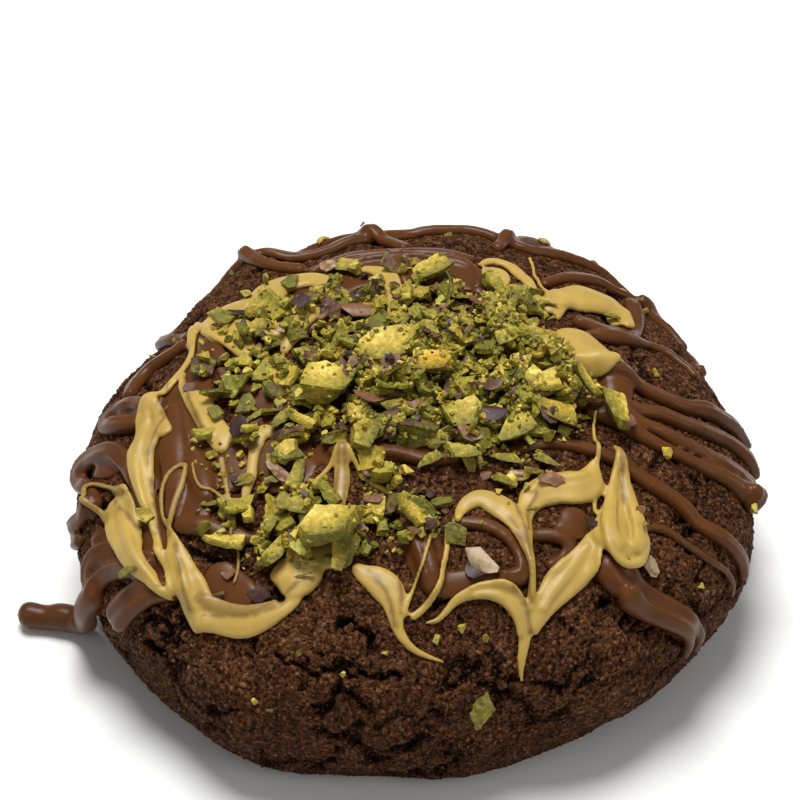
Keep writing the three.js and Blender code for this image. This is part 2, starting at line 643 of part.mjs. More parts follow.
function meshOf(name, solid, finish) {
  const mesh = new THREE.Mesh(geometryOf(solid), new THREE.MeshStandardMaterial(FINISHES[finish]));
  mesh.name = name;
  return mesh;
}

/** A mesh for each of several solids, their names numbered from 01. */
function numberedMeshes(name, solids, finish) {
  return solids.map((solid, i) => meshOf(`${name}_${String(i + 1).padStart(2, "0")}`, solid, finish));
}

// ---- the cookie ---------------------------------------------------------------------------------

const chocolateRoom = chocolateSolid(GAP);
const chunks = NUT_CHUNKS.map((chunk) => chunkSolid(chunk));
const chunkRoom = joined(NUT_CHUNKS.map((chunk) => chunkSolid(chunk, GAP)));

const foot = footSolid().subtract(doughSolid(GAP)).subtract(chocolateRoom);
const cream = creamSolid().subtract(chocolateRoom).subtract(chunkRoom);
const heap = heapSolid().subtract(chocolateRoom).subtract(creamSolid(GAP)).subtract(chunkRoom);

const cookie = new THREE.Group();
cookie.add(meshOf("cookie_dough", doughSolid(), "dough"));
cookie.add(...numberedMeshes("chocolate_drizzle", bodiesOf(chocolateSolid()), "chocolate"));
cookie.add(meshOf("chocolate_foot", bodiesOf(foot)[0], "chocolate"));
cookie.add(...numberedMeshes("pistachio_cream", bodiesOf(cream), "cream"));
cookie.add(meshOf("chopped_pistachio_heap", bodiesOf(heap)[0], "heap"));
cookie.add(...numberedMeshes("pistachio_chunk", chunks, "chunk"));

export default cookie;
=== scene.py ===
"""Pistachio cookie: thick chocolate dough under milk chocolate, pistachio cream and chopped nuts.

A place on the cookie is written (x, y) on its unrolled top, in millimetres: the bearing is the
direction from the middle, and the distance is the way walked down from the top over the dough. A
lift is a height above the plain dough there. The toppings are laid one after another on a map of
lifts, so each rests on what was put down before it.
"""

import math
import random

import bmesh
import bpy
import numpy as np
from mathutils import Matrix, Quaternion, Vector, noise
from mathutils.bvhtree import BVHTree
from mathutils.kdtree import KDTree


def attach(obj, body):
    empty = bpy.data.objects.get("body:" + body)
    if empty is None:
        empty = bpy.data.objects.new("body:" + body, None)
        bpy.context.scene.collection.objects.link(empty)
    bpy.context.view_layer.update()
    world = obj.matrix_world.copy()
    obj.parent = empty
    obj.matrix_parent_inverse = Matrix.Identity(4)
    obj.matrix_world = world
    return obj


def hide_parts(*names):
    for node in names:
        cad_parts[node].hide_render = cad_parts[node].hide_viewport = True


bl_info = {
    "name": "Pistachio Cookie",
    "version": (1, 0, 0),
    "blender": (4, 5, 0),
    "location": "View3D > Sidebar > Cookie",
    "description": "Bakes and decorates a chocolate cookie with pistachio cream and chopped nuts",
    "category": "Object",
}

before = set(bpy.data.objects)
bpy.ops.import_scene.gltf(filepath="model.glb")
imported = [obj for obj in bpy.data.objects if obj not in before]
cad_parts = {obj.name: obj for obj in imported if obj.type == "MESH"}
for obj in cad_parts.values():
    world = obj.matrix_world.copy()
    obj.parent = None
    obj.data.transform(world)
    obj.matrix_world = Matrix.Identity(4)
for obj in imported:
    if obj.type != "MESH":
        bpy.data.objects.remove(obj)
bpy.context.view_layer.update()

MM = 0.001

# ---- the cookie's form --------------------------------------------------------------------------

DOME_EXPONENT = 2.15
PROFILE_STEPS = 240
# How far the outline swells and draws in: waves per turn, size in mm, bearing of a crest.
OUTLINE_WAVES = ((2, 1.55, 63), (3, 1.35, 93), (4, 0.65, -12))
# Mounds and hollows baked into the dough: x, y, reach, rise.
MOUNDS = (
    (-25, 37, 8, 2.2), (-17, 38, 5, -1.6), (36, 20, 6, -1.8), (34, -46, 11, 1.4),
    (15, -56, 7, -1.2), (-12, -45, 9, 0.8), (45, -15, 8, 0.8), (-30, -52, 10, 0.9),
)
MOUND_FADE = 8.0

# ---- the drizzle: routes of (x, y, width) on the unrolled top -----------------------------------

CHOCOLATE_FILMS = {
    "left_outer": ((-33, 10, 5), (-33, 4, 7), (-33.5, -2, 9), (-33, -8, 10), (-32, -14, 9),
                   (-31, -20, 8), (-29.6, -25, 6)),
    "left_inner": ((-26, -9, 5), (-25, -14, 5), (-25, -20, 5)),
    "bowl": ((-28, -30, 5), (-25, -34, 6), (-21, -36, 4)),
    "front": ((0, -26, 5), (1, -31, 6), (2.6, -36, 5), (6, -36.5, 4), (12, -35, 4)),
    "upper_left": ((-22, 12, 6), (-17, 12, 6), (-12, 13, 5)),
    "far_left": ((-36, 18, 4), (-33, 13, 5), (-30, 8, 5)),
    "under_blob": ((23, 11, 5), (26, 7, 6), (28, 3, 6), (28.4, -0.6, 4)),
    "loop_fill": ((-38, -1.4, 4), (-43, 0.4, 4), (-47, 2.2, 3)),
    "left_tongue": ((-36, -8, 6), (-39, -15, 5), (-36, -26, 6), (-33, -30, 5)),
    "loop_top": ((-43, 1, 3.4), (-46, 2, 3.4)),
    "loop_inside": ((-42, -9, 5), (-46, -8, 5), (-49, -6.6, 4)),
    "heap_left": ((-27, 2, 6), (-23, -2, 8), (-20, -8, 9), (-18, -15, 9), (-16, -21, 8)),
    "heap_low": ((-14, -14, 6), (-8, -15.6, 6), (-2, -15, 5), (5, -15.4, 4)),
    "heap_front": ((-15, -26, 8), (-10, -27, 7), (-6, -27, 4)),
    "far_left_film": ((-24, 14, 8), (-19, 19, 9), (-14, 23, 9), (-6, 25, 9), (2, 25, 8),
                      (9, 23, 7), (13, 19, 5)),
    "far_right_film": ((15, 24, 4), (19, 21, 6), (22, 17, 6)),
    "drop_side": ((22, -23, 4), (22, -27, 5), (19, -27, 5)),
}
# Soft low ridges in the films.
CHOCOLATE_BANDS = {
    "left_band": ((-34.8, -2, 2), (-34.4, -7, 3.6), (-34, -11, 4.2), (-33.6, -15, 3.8),
                  (-33, -19, 3), (-33.4, -23, 2)),
    "left_band_inner": ((-31, -11, 2), (-30, -14.5, 3.2), (-29, -18, 3.2), (-28, -21.4, 2)),
    "bowl_top": ((-33, -23.6, 2), (-29.6, -24.6, 2.8), (-25.6, -25.8, 2.8), (-21.6, -27, 2.2),
                 (-17, -26, 1.8)),
    "upper_left": ((-35, 17, 2.6), (-32.4, 13, 3.6), (-30.4, 8.6, 3.6), (-28, 5, 2.6)),
    "upper_left_inner": ((-17, 12, 3), (-14, 10.6, 3.4), (-11, 14, 3), (-10, 18, 2.4)),
    "blob_foot": ((28, 4, 4.4), (29.4, 1.4, 5), (29, -1.4, 4.6), (27.4, -3.4, 2.6)),
    "under_drop": ((26.6, -25, 4), (27, -28.4, 6.6), (27.6, -31.6, 7.4), (29.4, -34, 6.6)),
}
CHOCOLATE_ROPES = {
    "right_first": ((23.5, 15, 3), (28, 14.6, 3.2), (31.5, 16, 3.2), (34, 18.2, 3.6),
                    (35.2, 21.4, 4), (35.2, 25.4, 3.8), (34.4, 29.4, 2.6)),
    "right_high": ((25, 11, 2), (30, 13, 2.4), (34, 14.8, 2.4), (37.5, 16.6, 2.2),
                   (40.4, 15.8, 2.1), (43, 13, 2), (44.4, 10.4, 1.8)),
    "right_second": ((16, 2.4, 2.4), (26, 3, 3), (31, 2.7, 3), (36, 1.6, 3), (40, 1.1, 3),
                     (44, 2.6, 3.4), (48, 3.7, 3.4), (53, 5.1, 3), (57, 5.5, 2.6)),
    "right_third": ((18, -4.4, 2.4), (27, -4, 2.6), (32, -3.1, 2.4), (36, -2.6, 3.2),
                    (40, -3, 3.2), (44, -2.2, 3), (48, -1.2, 3.1), (53, -1.4, 3), (57, -2, 2.6)),
    "right_fourth": ((26, -4.6, 2.4), (30, -5.4, 2.4), (34, -6, 2.6), (38, -7.4, 3), (43, -8.4, 3),
                     (48, -8.1, 3.4), (52, -7.8, 4.2), (54.6, -8.4, 4)),
    "right_fifth": ((24, -6, 2.4), (28.5, -6.8, 3), (32, -8.4, 2.8), (36, -9.8, 2.4),
                    (41, -11.1, 2.4), (45.5, -11.2, 2.8), (49.5, -11.2, 4), (53, -9.8, 4)),
    "right_drip": ((50, -9.6, 5), (50.8, -12, 3.6), (50.4, -14, 2.4)),
    "right_long": ((8, -15.6, 1.8), (15, -14.5, 1.8), (19, -13, 2.2), (24, -13.3, 2.4),
                   (28.5, -14.1, 2.6), (33, -16.6, 3), (37, -18.5, 3), (41, -20.9, 3),
                   (46, -21.8, 3), (50.5, -22.6, 2.8), (52.6, -24.2, 2.2)),
    "right_thin": ((31, -24.6, 1), (35, -23.9, 1.8), (39, -25.2, 1.5), (43, -25.9, 1.4),
                   (47, -25.9, 1.3), (51.5, -27.6, 1.1)),
    "right_pool": ((26.8, -30, 7.2), (28.4, -33, 7.2), (33, -34.8, 5), (38.4, -35.2, 4),
                   (43.5, -35.4, 2.8), (47, -36.6, 2.2), (49.4, -38.6, 1.6)),
    "right_pool_edge": ((28.4, -35.4, 4.6), (32, -36.8, 3.2), (37, -37, 2.8), (41, -37, 2.4),
                        (44, -38.2, 2), (45.6, -40.6, 1.5)),
    "front_bend": ((5, -27.6, 2), (9, -28, 2.4), (12.4, -29.6, 2.4), (14.4, -32.4, 2.4),
                   (14.6, -35.4, 3.2), (11, -36, 2.6)),
    "front_ring": ((15, -29.4, 2), (18.5, -28.8, 2.4), (21.5, -29.8, 2.4), (20.4, -32.2, 2),
                   (18, -33.8, 2.2)),
    "front_left_run": ((-1, -27, 2.4), (0.6, -31, 3.4), (1.8, -35, 3.6), (2.6, -38.5, 2.4)),
    "under_fan": ((-12, -15.4, 2.4), (-7.6, -16.4, 2.6), (-3, -16.2, 2.6), (2, -17.4, 2.2),
                  (7, -16.4, 2.4)),
    "loop_back": ((-36, -1.9, 2.8), (-39.6, -0.1, 3.2), (-42.6, 2.3, 3.2), (-46, 3.9, 3.2),
                  (-48.6, 3.4, 3.2), (-48.2, 1.5, 3), (-46, -0.3, 3.2), (-43.2, -1.9, 3.4),
                  (-40, -3.3, 3)),
    "loop_middle": ((-37.6, -19.8, 2.4), (-38.8, -16.4, 2.8), (-40.2, -13.2, 3.2),
                    (-42, -9.8, 3.4), (-44.4, -6.8, 3.8), (-48, -4.8, 4), (-51.6, -3.4, 4),
                    (-54.2, -3.6, 3.8), (-53.4, -6.4, 3.4), (-51, -8.8, 3), (-49, -11.2, 2.6),
                    (-47.4, -14.2, 2.8), (-47.6, -17, 2.8)),
    "loop_low": ((-45.5, -14.6, 2.6), (-49.1, -15.4, 3), (-52.5, -14.6, 3), (-55.7, -13.6, 2.8),
                 (-56.5, -15.2, 2.8), (-53.5, -17, 2.6), (-50.5, -18.6, 2.4)),
    "loop_small": ((-48.6, -20.6, 2), (-46.6, -19.8, 2.2), (-44, -20.6, 2.2), (-41.6, -22.4, 2)),
    "left_rope": ((-35, -27.6, 2.6), (-39, -26.6, 3), (-42, -24.4, 3.6), (-45.4, -23, 4),
                  (-48.6, -23.2, 4), (-50, -25.4, 3.6), (-50.4, -28, 3.4)),
    "left_rope_twin": ((-36, -29, 2.2), (-40, -28, 2.4), (-43.6, -26.6, 3), (-47, -26.4, 3),
                       (-49.4, -28.2, 3)),
    "left_front_rope": ((-30.6, -32.4, 2.6), (-33.2, -32.6, 3), (-36.8, -31.8, 4.6),
                        (-40.6, -32, 5.6), (-44, -32.6, 6.5), (-46.6, -33.6, 6.2)),
    "far_rim": ((-17, 28.4, 2.2), (-12, 30, 2.6), (-6, 30.6, 2.6), (0, 30.2, 2.4), (5, 29.6, 2.4),
                (9, 28.2, 2)),
    "far_rim_inner": ((-14, 26.8, 1.8), (-6, 28.2, 1.8), (1, 27.8, 2), (7, 26.8, 1.8),
                      (9.4, 24, 1.6), (9, 20, 1.2)),
    "far_wave": ((19, 25, 2), (22, 27.6, 2.4), (26, 30, 2.8), (30, 31.4, 2.6), (35, 32, 2.4),
                 (42, 30, 2.4), (47, 26, 2.2)),
    "far_stem": ((-3, 27, 3), (-1.8, 23, 3), (-1, 19, 2.4)),
    "rim_left": ((-45.1, 6.2, 2.6), (-45.1, 10.6, 3.2), (-43.7, 13.5, 3.4), (-41.3, 14.6, 3.4),
                 (-38.6, 15.3, 3), (-36.1, 15.9, 2.6)),
    # The far side isn't in the photograph: it is finished like the side that shows.
    "far_garland": ((-36, 18, 2.6), (-41, 22, 2.8), (-45, 28, 3), (-44, 36, 3), (-36, 40, 3),
                    (-27, 38, 2.8), (-18, 36, 2.8), (-9, 39, 3), (0, 42, 3), (9, 40, 2.8),
                    (17, 37, 2.8), (26, 40, 3), (34, 42, 2.8), (41, 38, 2.6)),
    "far_garland_twin": ((-17, 29, 2.6), (-24, 33, 2.6), (-27, 39, 2.8), (-24, 45, 3),
                         (-18, 47, 3), (-11, 44, 2.8), (-5, 38, 2.6), (-1, 33, 2.4)),
    "far_drip": ((12, 33, 2.4), (15, 40, 2.6), (20, 47, 3), (25, 50, 3.2), (29, 47, 2.8),
                 (29, 42, 2.4)),
    "far_hook": ((36, 31, 2.6), (42, 33, 2.6), (47, 31, 2.8), (50, 25, 2.8), (49, 20, 2.6)),
}
# The tongue of chocolate that ran down from the left rope and set on the table: x, y, z, thickness.
CHOCOLATE_TONGUE = (
    (-43.6, -25.6, 17, 3.4), (-45.4, -25, 15, 3.8), (-46.8, -24, 11.4, 3.6), (-47.5, -22, 7.6, 3.3),
    (-48, -19.6, 4, 3.6), (-49.6, -17.8, 2.4, 4), (-52, -17, 2.2, 4.2), (-54.2, -16.8, 1.9, 3.7),
    (-57, -16.4, 2, 4.1), (-58.6, -16.3, 2, 4),
)

CREAM_RIBBONS = {
    "arc_main": ((-34.8, 22, 1.6), (-34.4, 16, 1.5), (-34, 10, 1.3), (-34.3, 6.8, 1.3),
                 (-35.3, 4.3, 1.6), (-36.6, 2.2, 1.9), (-37.8, 0.4, 2.4), (-38.5, -2.4, 3.8),
                 (-38.3, -5.4, 5.6), (-38.5, -7.9, 5.4), (-38.8, -10.2, 4.4),
                 (-38.4, -13.1, 3.7), (-37.9, -15.8, 3), (-37.2, -18.6, 2.3),
                 (-36.5, -21.4, 1.8), (-35.5, -24.9, 1.4), (-34.5, -27.8, 1.2),
                 (-33.4, -31, 0.8), (-32.6, -33.7, 0.4)),
    "arc_inner": ((-37.2, -1.4, 1), (-36.7, -3.8, 1.8), (-35.8, -6.4, 2.3), (-35, -8.2, 2.4),
                  (-34.8, -9.2, 1.6)),
    "arc_fold": ((-37.6, -1, 0.8), (-38.6, -4, 1.4), (-39, -7.4, 1.6), (-39.2, -11, 1.5),
                 (-38.4, -15.4, 1.2), (-37.2, -19.6, 1), (-35.9, -24, 0.7)),
    "arc_second": ((-34.2, 4.6, 1), (-33.9, 1.4, 1.5), (-32, -1.8, 3), (-30.1, -4.8, 3.9),
                   (-28.6, -7.9, 3.9), (-27.2, -10.4, 3.8), (-26.9, -12.1, 2.7),
                   (-26.9, -13.4, 1.2)),
    "second_fold": ((-32.6, -1.2, 0.8), (-30.9, -4.4, 1.3), (-29.5, -7.6, 1.4), (-28, -10.8, 1.1)),
    "arc_second_tail": ((-26.8, -13.6, 1), (-26.5, -15.6, 1.1), (-25.9, -17.8, 0.9),
                        (-25.4, -20.4, 0.8), (-24.9, -22.7, 1), (-24.6, -24.9, 0.9),
                        (-24.8, -27.2, 0.4)),
    "wing": ((-43.2, -14.6, 1.6), (-42.9, -16, 4.6), (-42.4, -17.8, 6), (-41.7, -20.4, 5.8),
             (-40.5, -23, 5), (-39.2, -25.8, 3.8), (-37.4, -28.5, 2.8), (-35.5, -30.9, 1.9),
             (-33.9, -33, 1.1), (-32.7, -34.2, 0.5)),
    "wing_fold": ((-42, -16.6, 1.2), (-41.6, -19.4, 1.8), (-40.2, -22.6, 1.7), (-38.4, -26, 1.3),
                  (-36.2, -29.4, 1), (-34, -32.4, 0.6)),
    "wing_brow": ((-44, -14.6, 0.8), (-43.4, -14.2, 1.3), (-42.2, -14.4, 1.2), (-41, -15.2, 1),
                  (-40.2, -16.4, 0.7)),
    "wing_hook": ((-44.6, -18.6, 1.4), (-46.1, -16.1, 1), (-48, -13.4, 0.9), (-48.7, -11.6, 0.9),
                  (-47.4, -11.2, 0.8), (-45.4, -12.4, 0.8), (-43.3, -14, 0.9), (-41.9, -15.4, 1.1)),
    "loop_left": ((-31.6, -14.2, 0.7), (-33.5, -15.4, 0.8), (-34.4, -17, 0.8), (-34.8, -19, 0.8),
                  (-34.5, -21.4, 0.7), (-33.9, -23.2, 0.6), (-33.5, -24.2, 0.4)),
    "loop_left_inner": ((-31.4, -14.3, 0.6), (-31.5, -16.4, 0.9), (-31.8, -18.5, 1),
                        (-32.4, -20.6, 1), (-32.9, -22.6, 0.9), (-33.4, -24.3, 0.8)),
    "loop_left_thread": ((-30.4, -14.4, 0.5), (-30.1, -16.2, 0.5), (-29.5, -18.1, 0.5),
                         (-28.6, -19.4, 0.6), (-27.2, -19.9, 0.6), (-25.9, -21.2, 0.6),
                         (-25.1, -23.6, 0.6), (-24.8, -25.8, 0.4)),
    "bowl_left": ((-33.2, -24, 0.8), (-32.9, -25.9, 2), (-32.2, -28.4, 3.2), (-31.2, -30.8, 3.6),
                  (-30.3, -32.8, 4.4), (-29.8, -35, 4.8), (-29.8, -36.8, 4.2), (-30, -38.2, 3),
                  (-30.4, -39.2, 1)),
    "bowl_fold": ((-32.4, -27.4, 0.8), (-31.4, -30.6, 1.3), (-30.7, -33.6, 1.5),
                  (-30.4, -36.4, 1.2)),
    "bowl_rim": ((-30.4, -37.6, 2), (-28.9, -38, 2.4), (-27, -38.4, 2.7), (-25.3, -39, 3),
                 (-23.4, -39.5, 3.2), (-21.3, -39.5, 3.1), (-19.2, -39, 2.6),
                 (-17.2, -38.1, 2.1), (-15.8, -37.2, 1.5), (-15.1, -36.3, 0.7)),
    "bowl_lip": ((-28.8, -34.6, 2), (-26.9, -35.9, 2), (-24.9, -36.8, 1.7), (-22.8, -37.4, 1.5),
                 (-20.4, -37.5, 1.4), (-18, -37.1, 1.4)),
    "bowl_pool": ((-15.4, -29.8, 2.4), (-15.6, -31.4, 6.2), (-15.8, -33.4, 7.4),
                  (-16.2, -35.2, 6.4), (-17, -36.9, 3)),
    "bowl_pool_up": ((-16, -32, 3), (-13.4, -31, 4.6), (-10.6, -31.6, 4), (-8.4, -33, 2)),
    "bowl_thread": ((-24, -28, 0.5), (-23.8, -31.6, 0.5), (-24.4, -33.8, 0.6)),
    "inner_left": ((-19.6, -11.4, 1.6), (-20.4, -10.4, 2.6), (-21.6, -10.6, 2.9),
                   (-22.1, -13, 2.1), (-22.3, -15.3, 1.6), (-22.4, -17.4, 1.7),
                   (-22.9, -19.6, 1.5), (-23.2, -22, 1), (-22.6, -25, 0.8)),
    "inner_left_side": ((-20.2, -15.4, 0.7), (-18.6, -18, 0.9), (-16.8, -20.8, 0.8)),
    "fan_first": ((-10.1, -15, 0.6), (-11.4, -17.8, 0.8), (-13.8, -19.9, 0.8),
                  (-16.8, -21.6, 0.8), (-19, -23, 0.5)),
    "fan_second": ((-9.6, -12.6, 0.6), (-9.7, -15, 1.4), (-9.8, -18, 2.1), (-9.9, -21, 2.3),
                   (-10.2, -24, 1.9), (-10.5, -26.8, 1)),
    "fan_fourth": ((-9.2, -15.4, 0.6), (-7.9, -18.2, 0.8), (-6.3, -20.4, 0.9), (-3.8, -22.2, 1),
                   (-1.4, -23.6, 0.6)),
    "spike": ((-8.4, -33.2, 1.2), (-7, -34.4, 2.6), (-5.4, -35.4, 3.9), (-3.9, -36.8, 4.4),
              (-3, -38.4, 3.8), (-2.7, -40.4, 2.6), (-2.4, -42.2, 1.8), (-1.7, -43.6, 1.4),
              (-0.5, -45, 1.1), (1.4, -46.1, 0.8), (4.3, -47.2, 0.3)),
    "spike_thread": ((2.6, -28, 0.6), (2.1, -30, 0.6), (1.6, -32, 0.6), (0.9, -34.4, 0.6),
                     (0, -36.5, 0.6), (-0.9, -38.9, 0.6), (-1.6, -41.2, 0.6)),
    "spike_thread_right": ((4.4, -28, 0.9), (4.2, -32.3, 0.9), (3.7, -34.5, 0.9),
                           (3.5, -36.2, 0.9), (2.9, -37.8, 1), (1.8, -39.2, 1.1),
                           (0.6, -40.3, 1.1), (-0.8, -41.3, 1.2)),
    "arch": ((1.1, -41.8, 0.3), (2.9, -41.5, 0.8), (4.3, -40.3, 1.1), (5.5, -39, 1.4),
             (7, -38.2, 1.8), (8.8, -37.7, 2.2), (10.5, -37.6, 2.5), (12.1, -38, 2.8),
             (13.4, -38.9, 3), (14.3, -40.2, 2.8), (15.1, -41.7, 2.3), (15.4, -43.4, 2),
             (15.3, -45, 1.7), (15.2, -46.6, 1.4), (15.3, -48, 0.9), (15.7, -49.9, 0.3)),
    "arch_fold": ((7.4, -38.6, 0.7), (10, -38.4, 1.2), (12.4, -39.2, 1.4), (14, -41.2, 1.2),
                  (14.8, -44, 0.9)),
    "leaf_edge": ((24.8, -28, 0.5), (25, -31, 0.8), (24.6, -33.8, 0.8), (22.6, -36.4, 0.7)),
    "arch_upper": ((7, -37.6, 0.5), (9.4, -36.9, 0.9), (12, -36.9, 1), (14, -37.8, 1),
                   (15.2, -39.6, 0.9)),
    "bundle_left": ((12.4, -25.4, 0.7), (14, -28.4, 0.8), (15, -31.4, 0.8), (15.7, -34.6, 0.7),
                    (15.8, -39, 0.6)),
    "bundle_right": ((14.4, -23.6, 0.7), (14.7, -26.6, 0.8), (15.2, -30, 0.8), (15.9, -34, 0.7),
                     (16.2, -39, 0.7)),
    "leaf": ((24.3, -27.4, 0.6), (23.8, -29.4, 1.9), (23.2, -31.6, 3.8), (22.4, -33.4, 5),
             (20.9, -35.1, 5.2), (19.6, -36.8, 4.7), (18.4, -38.6, 3.8), (17.5, -40.2, 3.1),
             (16.8, -41.7, 2.4), (16.1, -43.4, 1.6)),
    "leaf_fold": ((23.9, -29.4, 0.9), (22.6, -32, 1.5), (21, -34.6, 1.6), (19, -37.4, 1.4),
                  (17.4, -40.4, 1.1)),
    "strand_right": ((25.1, -6.4, 0.6), (25.1, -9.4, 0.6), (25.2, -11.9, 0.7), (25.3, -14, 0.9),
                     (25.3, -16.6, 1), (25.3, -19.4, 0.9), (25.2, -22, 0.7), (25.1, -24.2, 0.4)),
    "bar_right": ((24.9, -15, 0.8), (24.7, -16.8, 2.6), (24.1, -18.9, 5.2), (23, -19.9, 5.6),
                  (21.6, -20.4, 5.8), (19.6, -20.8, 5.4), (17.6, -21.7, 5), (16.2, -23.2, 4),
                  (15.5, -25.4, 2.4), (15.4, -28, 1.5), (15.6, -31.1, 1.1), (16, -34.4, 0.9),
                  (16.2, -37.3, 0.8), (15.9, -40.4, 0.7)),
    "bar_fold": ((24.2, -17.8, 0.9), (22.6, -18.7, 1.4), (20, -19.4, 1.5), (17.4, -20.4, 1.3),
                 (15.8, -22.4, 1)),
    "feather": ((5.6, -28.2, 0.8), (6.2, -26, 1.8), (7.4, -24.4, 2.6), (9.1, -23.7, 3.2),
                (10.8, -24.4, 4), (12.3, -25.4, 4.1), (13.4, -27, 3.5), (14.2, -29, 2.6),
                (14.9, -31.2, 1.6), (15.6, -34, 0.9), (16, -38.8, 0.5)),
    "drop": ((28.2, -10.8, 0.5), (28.5, -14.6, 1.7), (28.8, -17.6, 3), (29, -20.1, 4.4),
             (29, -22.4, 5.8), (28.8, -24.8, 7.2), (28.5, -26.9, 8.4), (28.3, -28.9, 8.9),
             (28.2, -30.4, 8.6), (28.2, -31.6, 7.4)),
    "drop_left_ridge": ((28.1, -11.8, 0.5), (27.9, -15.4, 0.8), (27.6, -18.6, 1.3),
                        (27.2, -21.4, 1.8), (26.6, -24.2, 2.1), (26.2, -26.8, 2.2),
                        (26.6, -29, 2.2), (28.2, -30.2, 2.2)),
    "drop_right_ridge": ((28.3, -11.8, 0.5), (28.9, -14.8, 0.9), (29.6, -17.8, 1.3),
                         (30.2, -20.6, 1.8), (30.6, -23.4, 2.2), (30.8, -26, 2.3),
                         (30.4, -28.4, 2.2), (28.8, -30.1, 2.2)),
    "drop_ring": ((25.9, -25.6, 0.5), (25.6, -28.4, 0.9), (26.3, -30.8, 1.1), (28.2, -32.2, 1.2),
                  (30.6, -31.2, 1.1), (31.8, -28.8, 1), (32, -26.4, 0.5)),
    "blob_right": ((21.2, 11.4, 3), (22.4, 9.6, 5.4), (24, 7.2, 7.6), (25.4, 4.6, 8.6),
                   (26, 2.2, 7.6), (26.2, 0.8, 5.4)),
    "strand_back_right": ((23.2, 20.6, 1.3), (22, 17.4, 1.4), (21, 14.4, 1.2)),
    "bar_back": ((19.6, 16, 2), (20.6, 18.6, 4), (22.6, 21.2, 5.6), (25, 23, 6.6),
                 (27.6, 24, 6.8), (30, 24, 6.2), (31.8, 23, 5), (32.7, 21, 4), (32.9, 18.8, 3),
                 (32.6, 17, 1.6)),
    "curl_back": ((10.1, 20.3, 0.9), (10.1, 23.9, 1), (10.8, 25.6, 1.4), (12, 26, 1.7),
                  (13, 25.2, 2), (13.2, 23.2, 2), (12.4, 20.2, 1.9), (12, 16.8, 1.6)),
    "curl_back_outer": ((9.2, 25.1, 0.6), (10.2, 27.8, 1.2), (11.6, 28.8, 1.5), (13.6, 28.6, 1.7),
                        (15.1, 27.2, 2.2), (16.4, 24.8, 2.4), (17.5, 22, 1.8), (18.5, 18.3, 1.2)),
    "thread_back": ((17.4, 33.5, 0.6), (17.9, 30.1, 0.6), (18.2, 26.8, 0.6), (18.8, 23.8, 0.6),
                    (19.6, 21, 0.6), (19.8, 18.4, 0.5)),
    "blob_back": ((-23.6, 17.6, 5), (-23, 21, 7), (-21.4, 23.4, 7), (-18.4, 24.2, 5.4),
                  (-15, 23.4, 4), (-12.6, 20.4, 3)),
    "blob_back_down": ((-22.6, 18, 5), (-21.6, 14, 5), (-20.6, 10.6, 4), (-19.6, 7, 2.4)),
    "blob_back_right": ((-12.6, 20, 3), (-13.4, 16.4, 3.6), (-15.6, 12.6, 3.6), (-18, 8.6, 2.6),
                        (-19.4, 5, 1.4)),
    "blob_far_left": ((-33.6, 15, 3), (-32.8, 18, 5), (-30.6, 20.4, 5.6), (-28, 20.2, 5),
                      (-26.6, 17.8, 3)),
    "far_left_sheet": ((-33, 14.4, 3), (-30.6, 14, 6), (-28, 12.6, 7), (-26.2, 9.6, 5),
                       (-24.6, 5.6, 2.4)),
    "far_left_side": ((-36, 23.2, 1.6), (-35, 17.2, 1.2), (-34.6, 11.2, 1.2)),
    "strip_middle": ((-21, 6.4, 2.2), (-20.6, 9.4, 3.4), (-18, 11.4, 2.2), (-15.4, 13, 1.2),
                     (-12, 15.6, 0.8)),
    "back_sheet": ((-9.8, 24.6, 1.2), (-6.8, 24.2, 2), (-4.4, 22.2, 3), (-3.2, 18, 3.2),
                   (-2.9, 13.6, 2.6), (-3, 9.6, 2)),
    # The far side, finished in the same way.
    "far_feather": ((-16, 45, 1.2), (-14, 48, 2.2), (-11.6, 51, 3), (-10.6, 55, 2),
                    (-10, 59, 0.4)),
    "far_feather_side": ((-3, 46, 1), (-4.4, 49, 1.8), (-7, 52, 1.8), (-9.4, 56, 0.9),
                         (-10, 59, 0.4)),
    "far_drop": ((20, 45, 0.8), (20.6, 48, 2.2), (21, 51, 3.8), (21.2, 54, 5), (21.2, 55.6, 4.8)),
    "far_arc": ((34, 38, 1), (38.4, 38.6, 2.6), (41, 42, 2.8), (40, 46.6, 2), (37, 50, 0.5)),
}
# Where chocolate has been drawn into the cream.
COCOA_STREAKS = (
    ((28.4, -13), (28.8, -17), (29, -21), (29.1, -24.6)),
    ((13, -27), (14.3, -30.4), (15.4, -34), (16, -39)),
    ((13.9, -24.6), (14.8, -28.4), (15.6, -33)),
    ((-36.4, 2.4), (-36, -0.6), (-36.6, -3), (-35.4, -5.6), (-36.6, -8), (-37.2, -11),
     (-36.8, -15), (-36, -19.6), (-35.2, -24)),
    ((-41.6, -18), (-39.4, -21), (-37, -25), (-34.8, -29.4)),
    ((-42.6, -16.8), (-44.4, -14), (-46.6, -12.6)),
    ((-39.6, -17.8), (-37.6, -21.8), (-35.6, -26.4)),
    ((-6.2, -34.2), (-4.6, -36.4), (-3.4, -39), (-2.8, -42)),
    ((-2.2, -35.8), (-1.9, -38), (-2, -40.4)),
    ((13.4, -37.4), (15.2, -39.6), (16, -43)),
    ((16.8, -22.4), (15.7, -25), (15.4, -29)),
    ((-32.4, -26.6), (-31.4, -30), (-30.8, -33.4), (-30.4, -36)),
    ((-28.6, -37), (-25.6, -37.6), (-22.4, -38), (-19, -37.4)),
    ((-18.8, -36), (-17, -36.2), (-15.4, -35)),
    ((-33.8, 3.2), (-32.4, -1.6), (-30.8, -6), (-29, -10)),
    ((-9.8, -14), (-10.2, -18), (-10.6, -22), (-10.8, -26)),
    ((-9.4, -14), (-9.4, -18), (-9.5, -22), (-9.9, -26)),
)

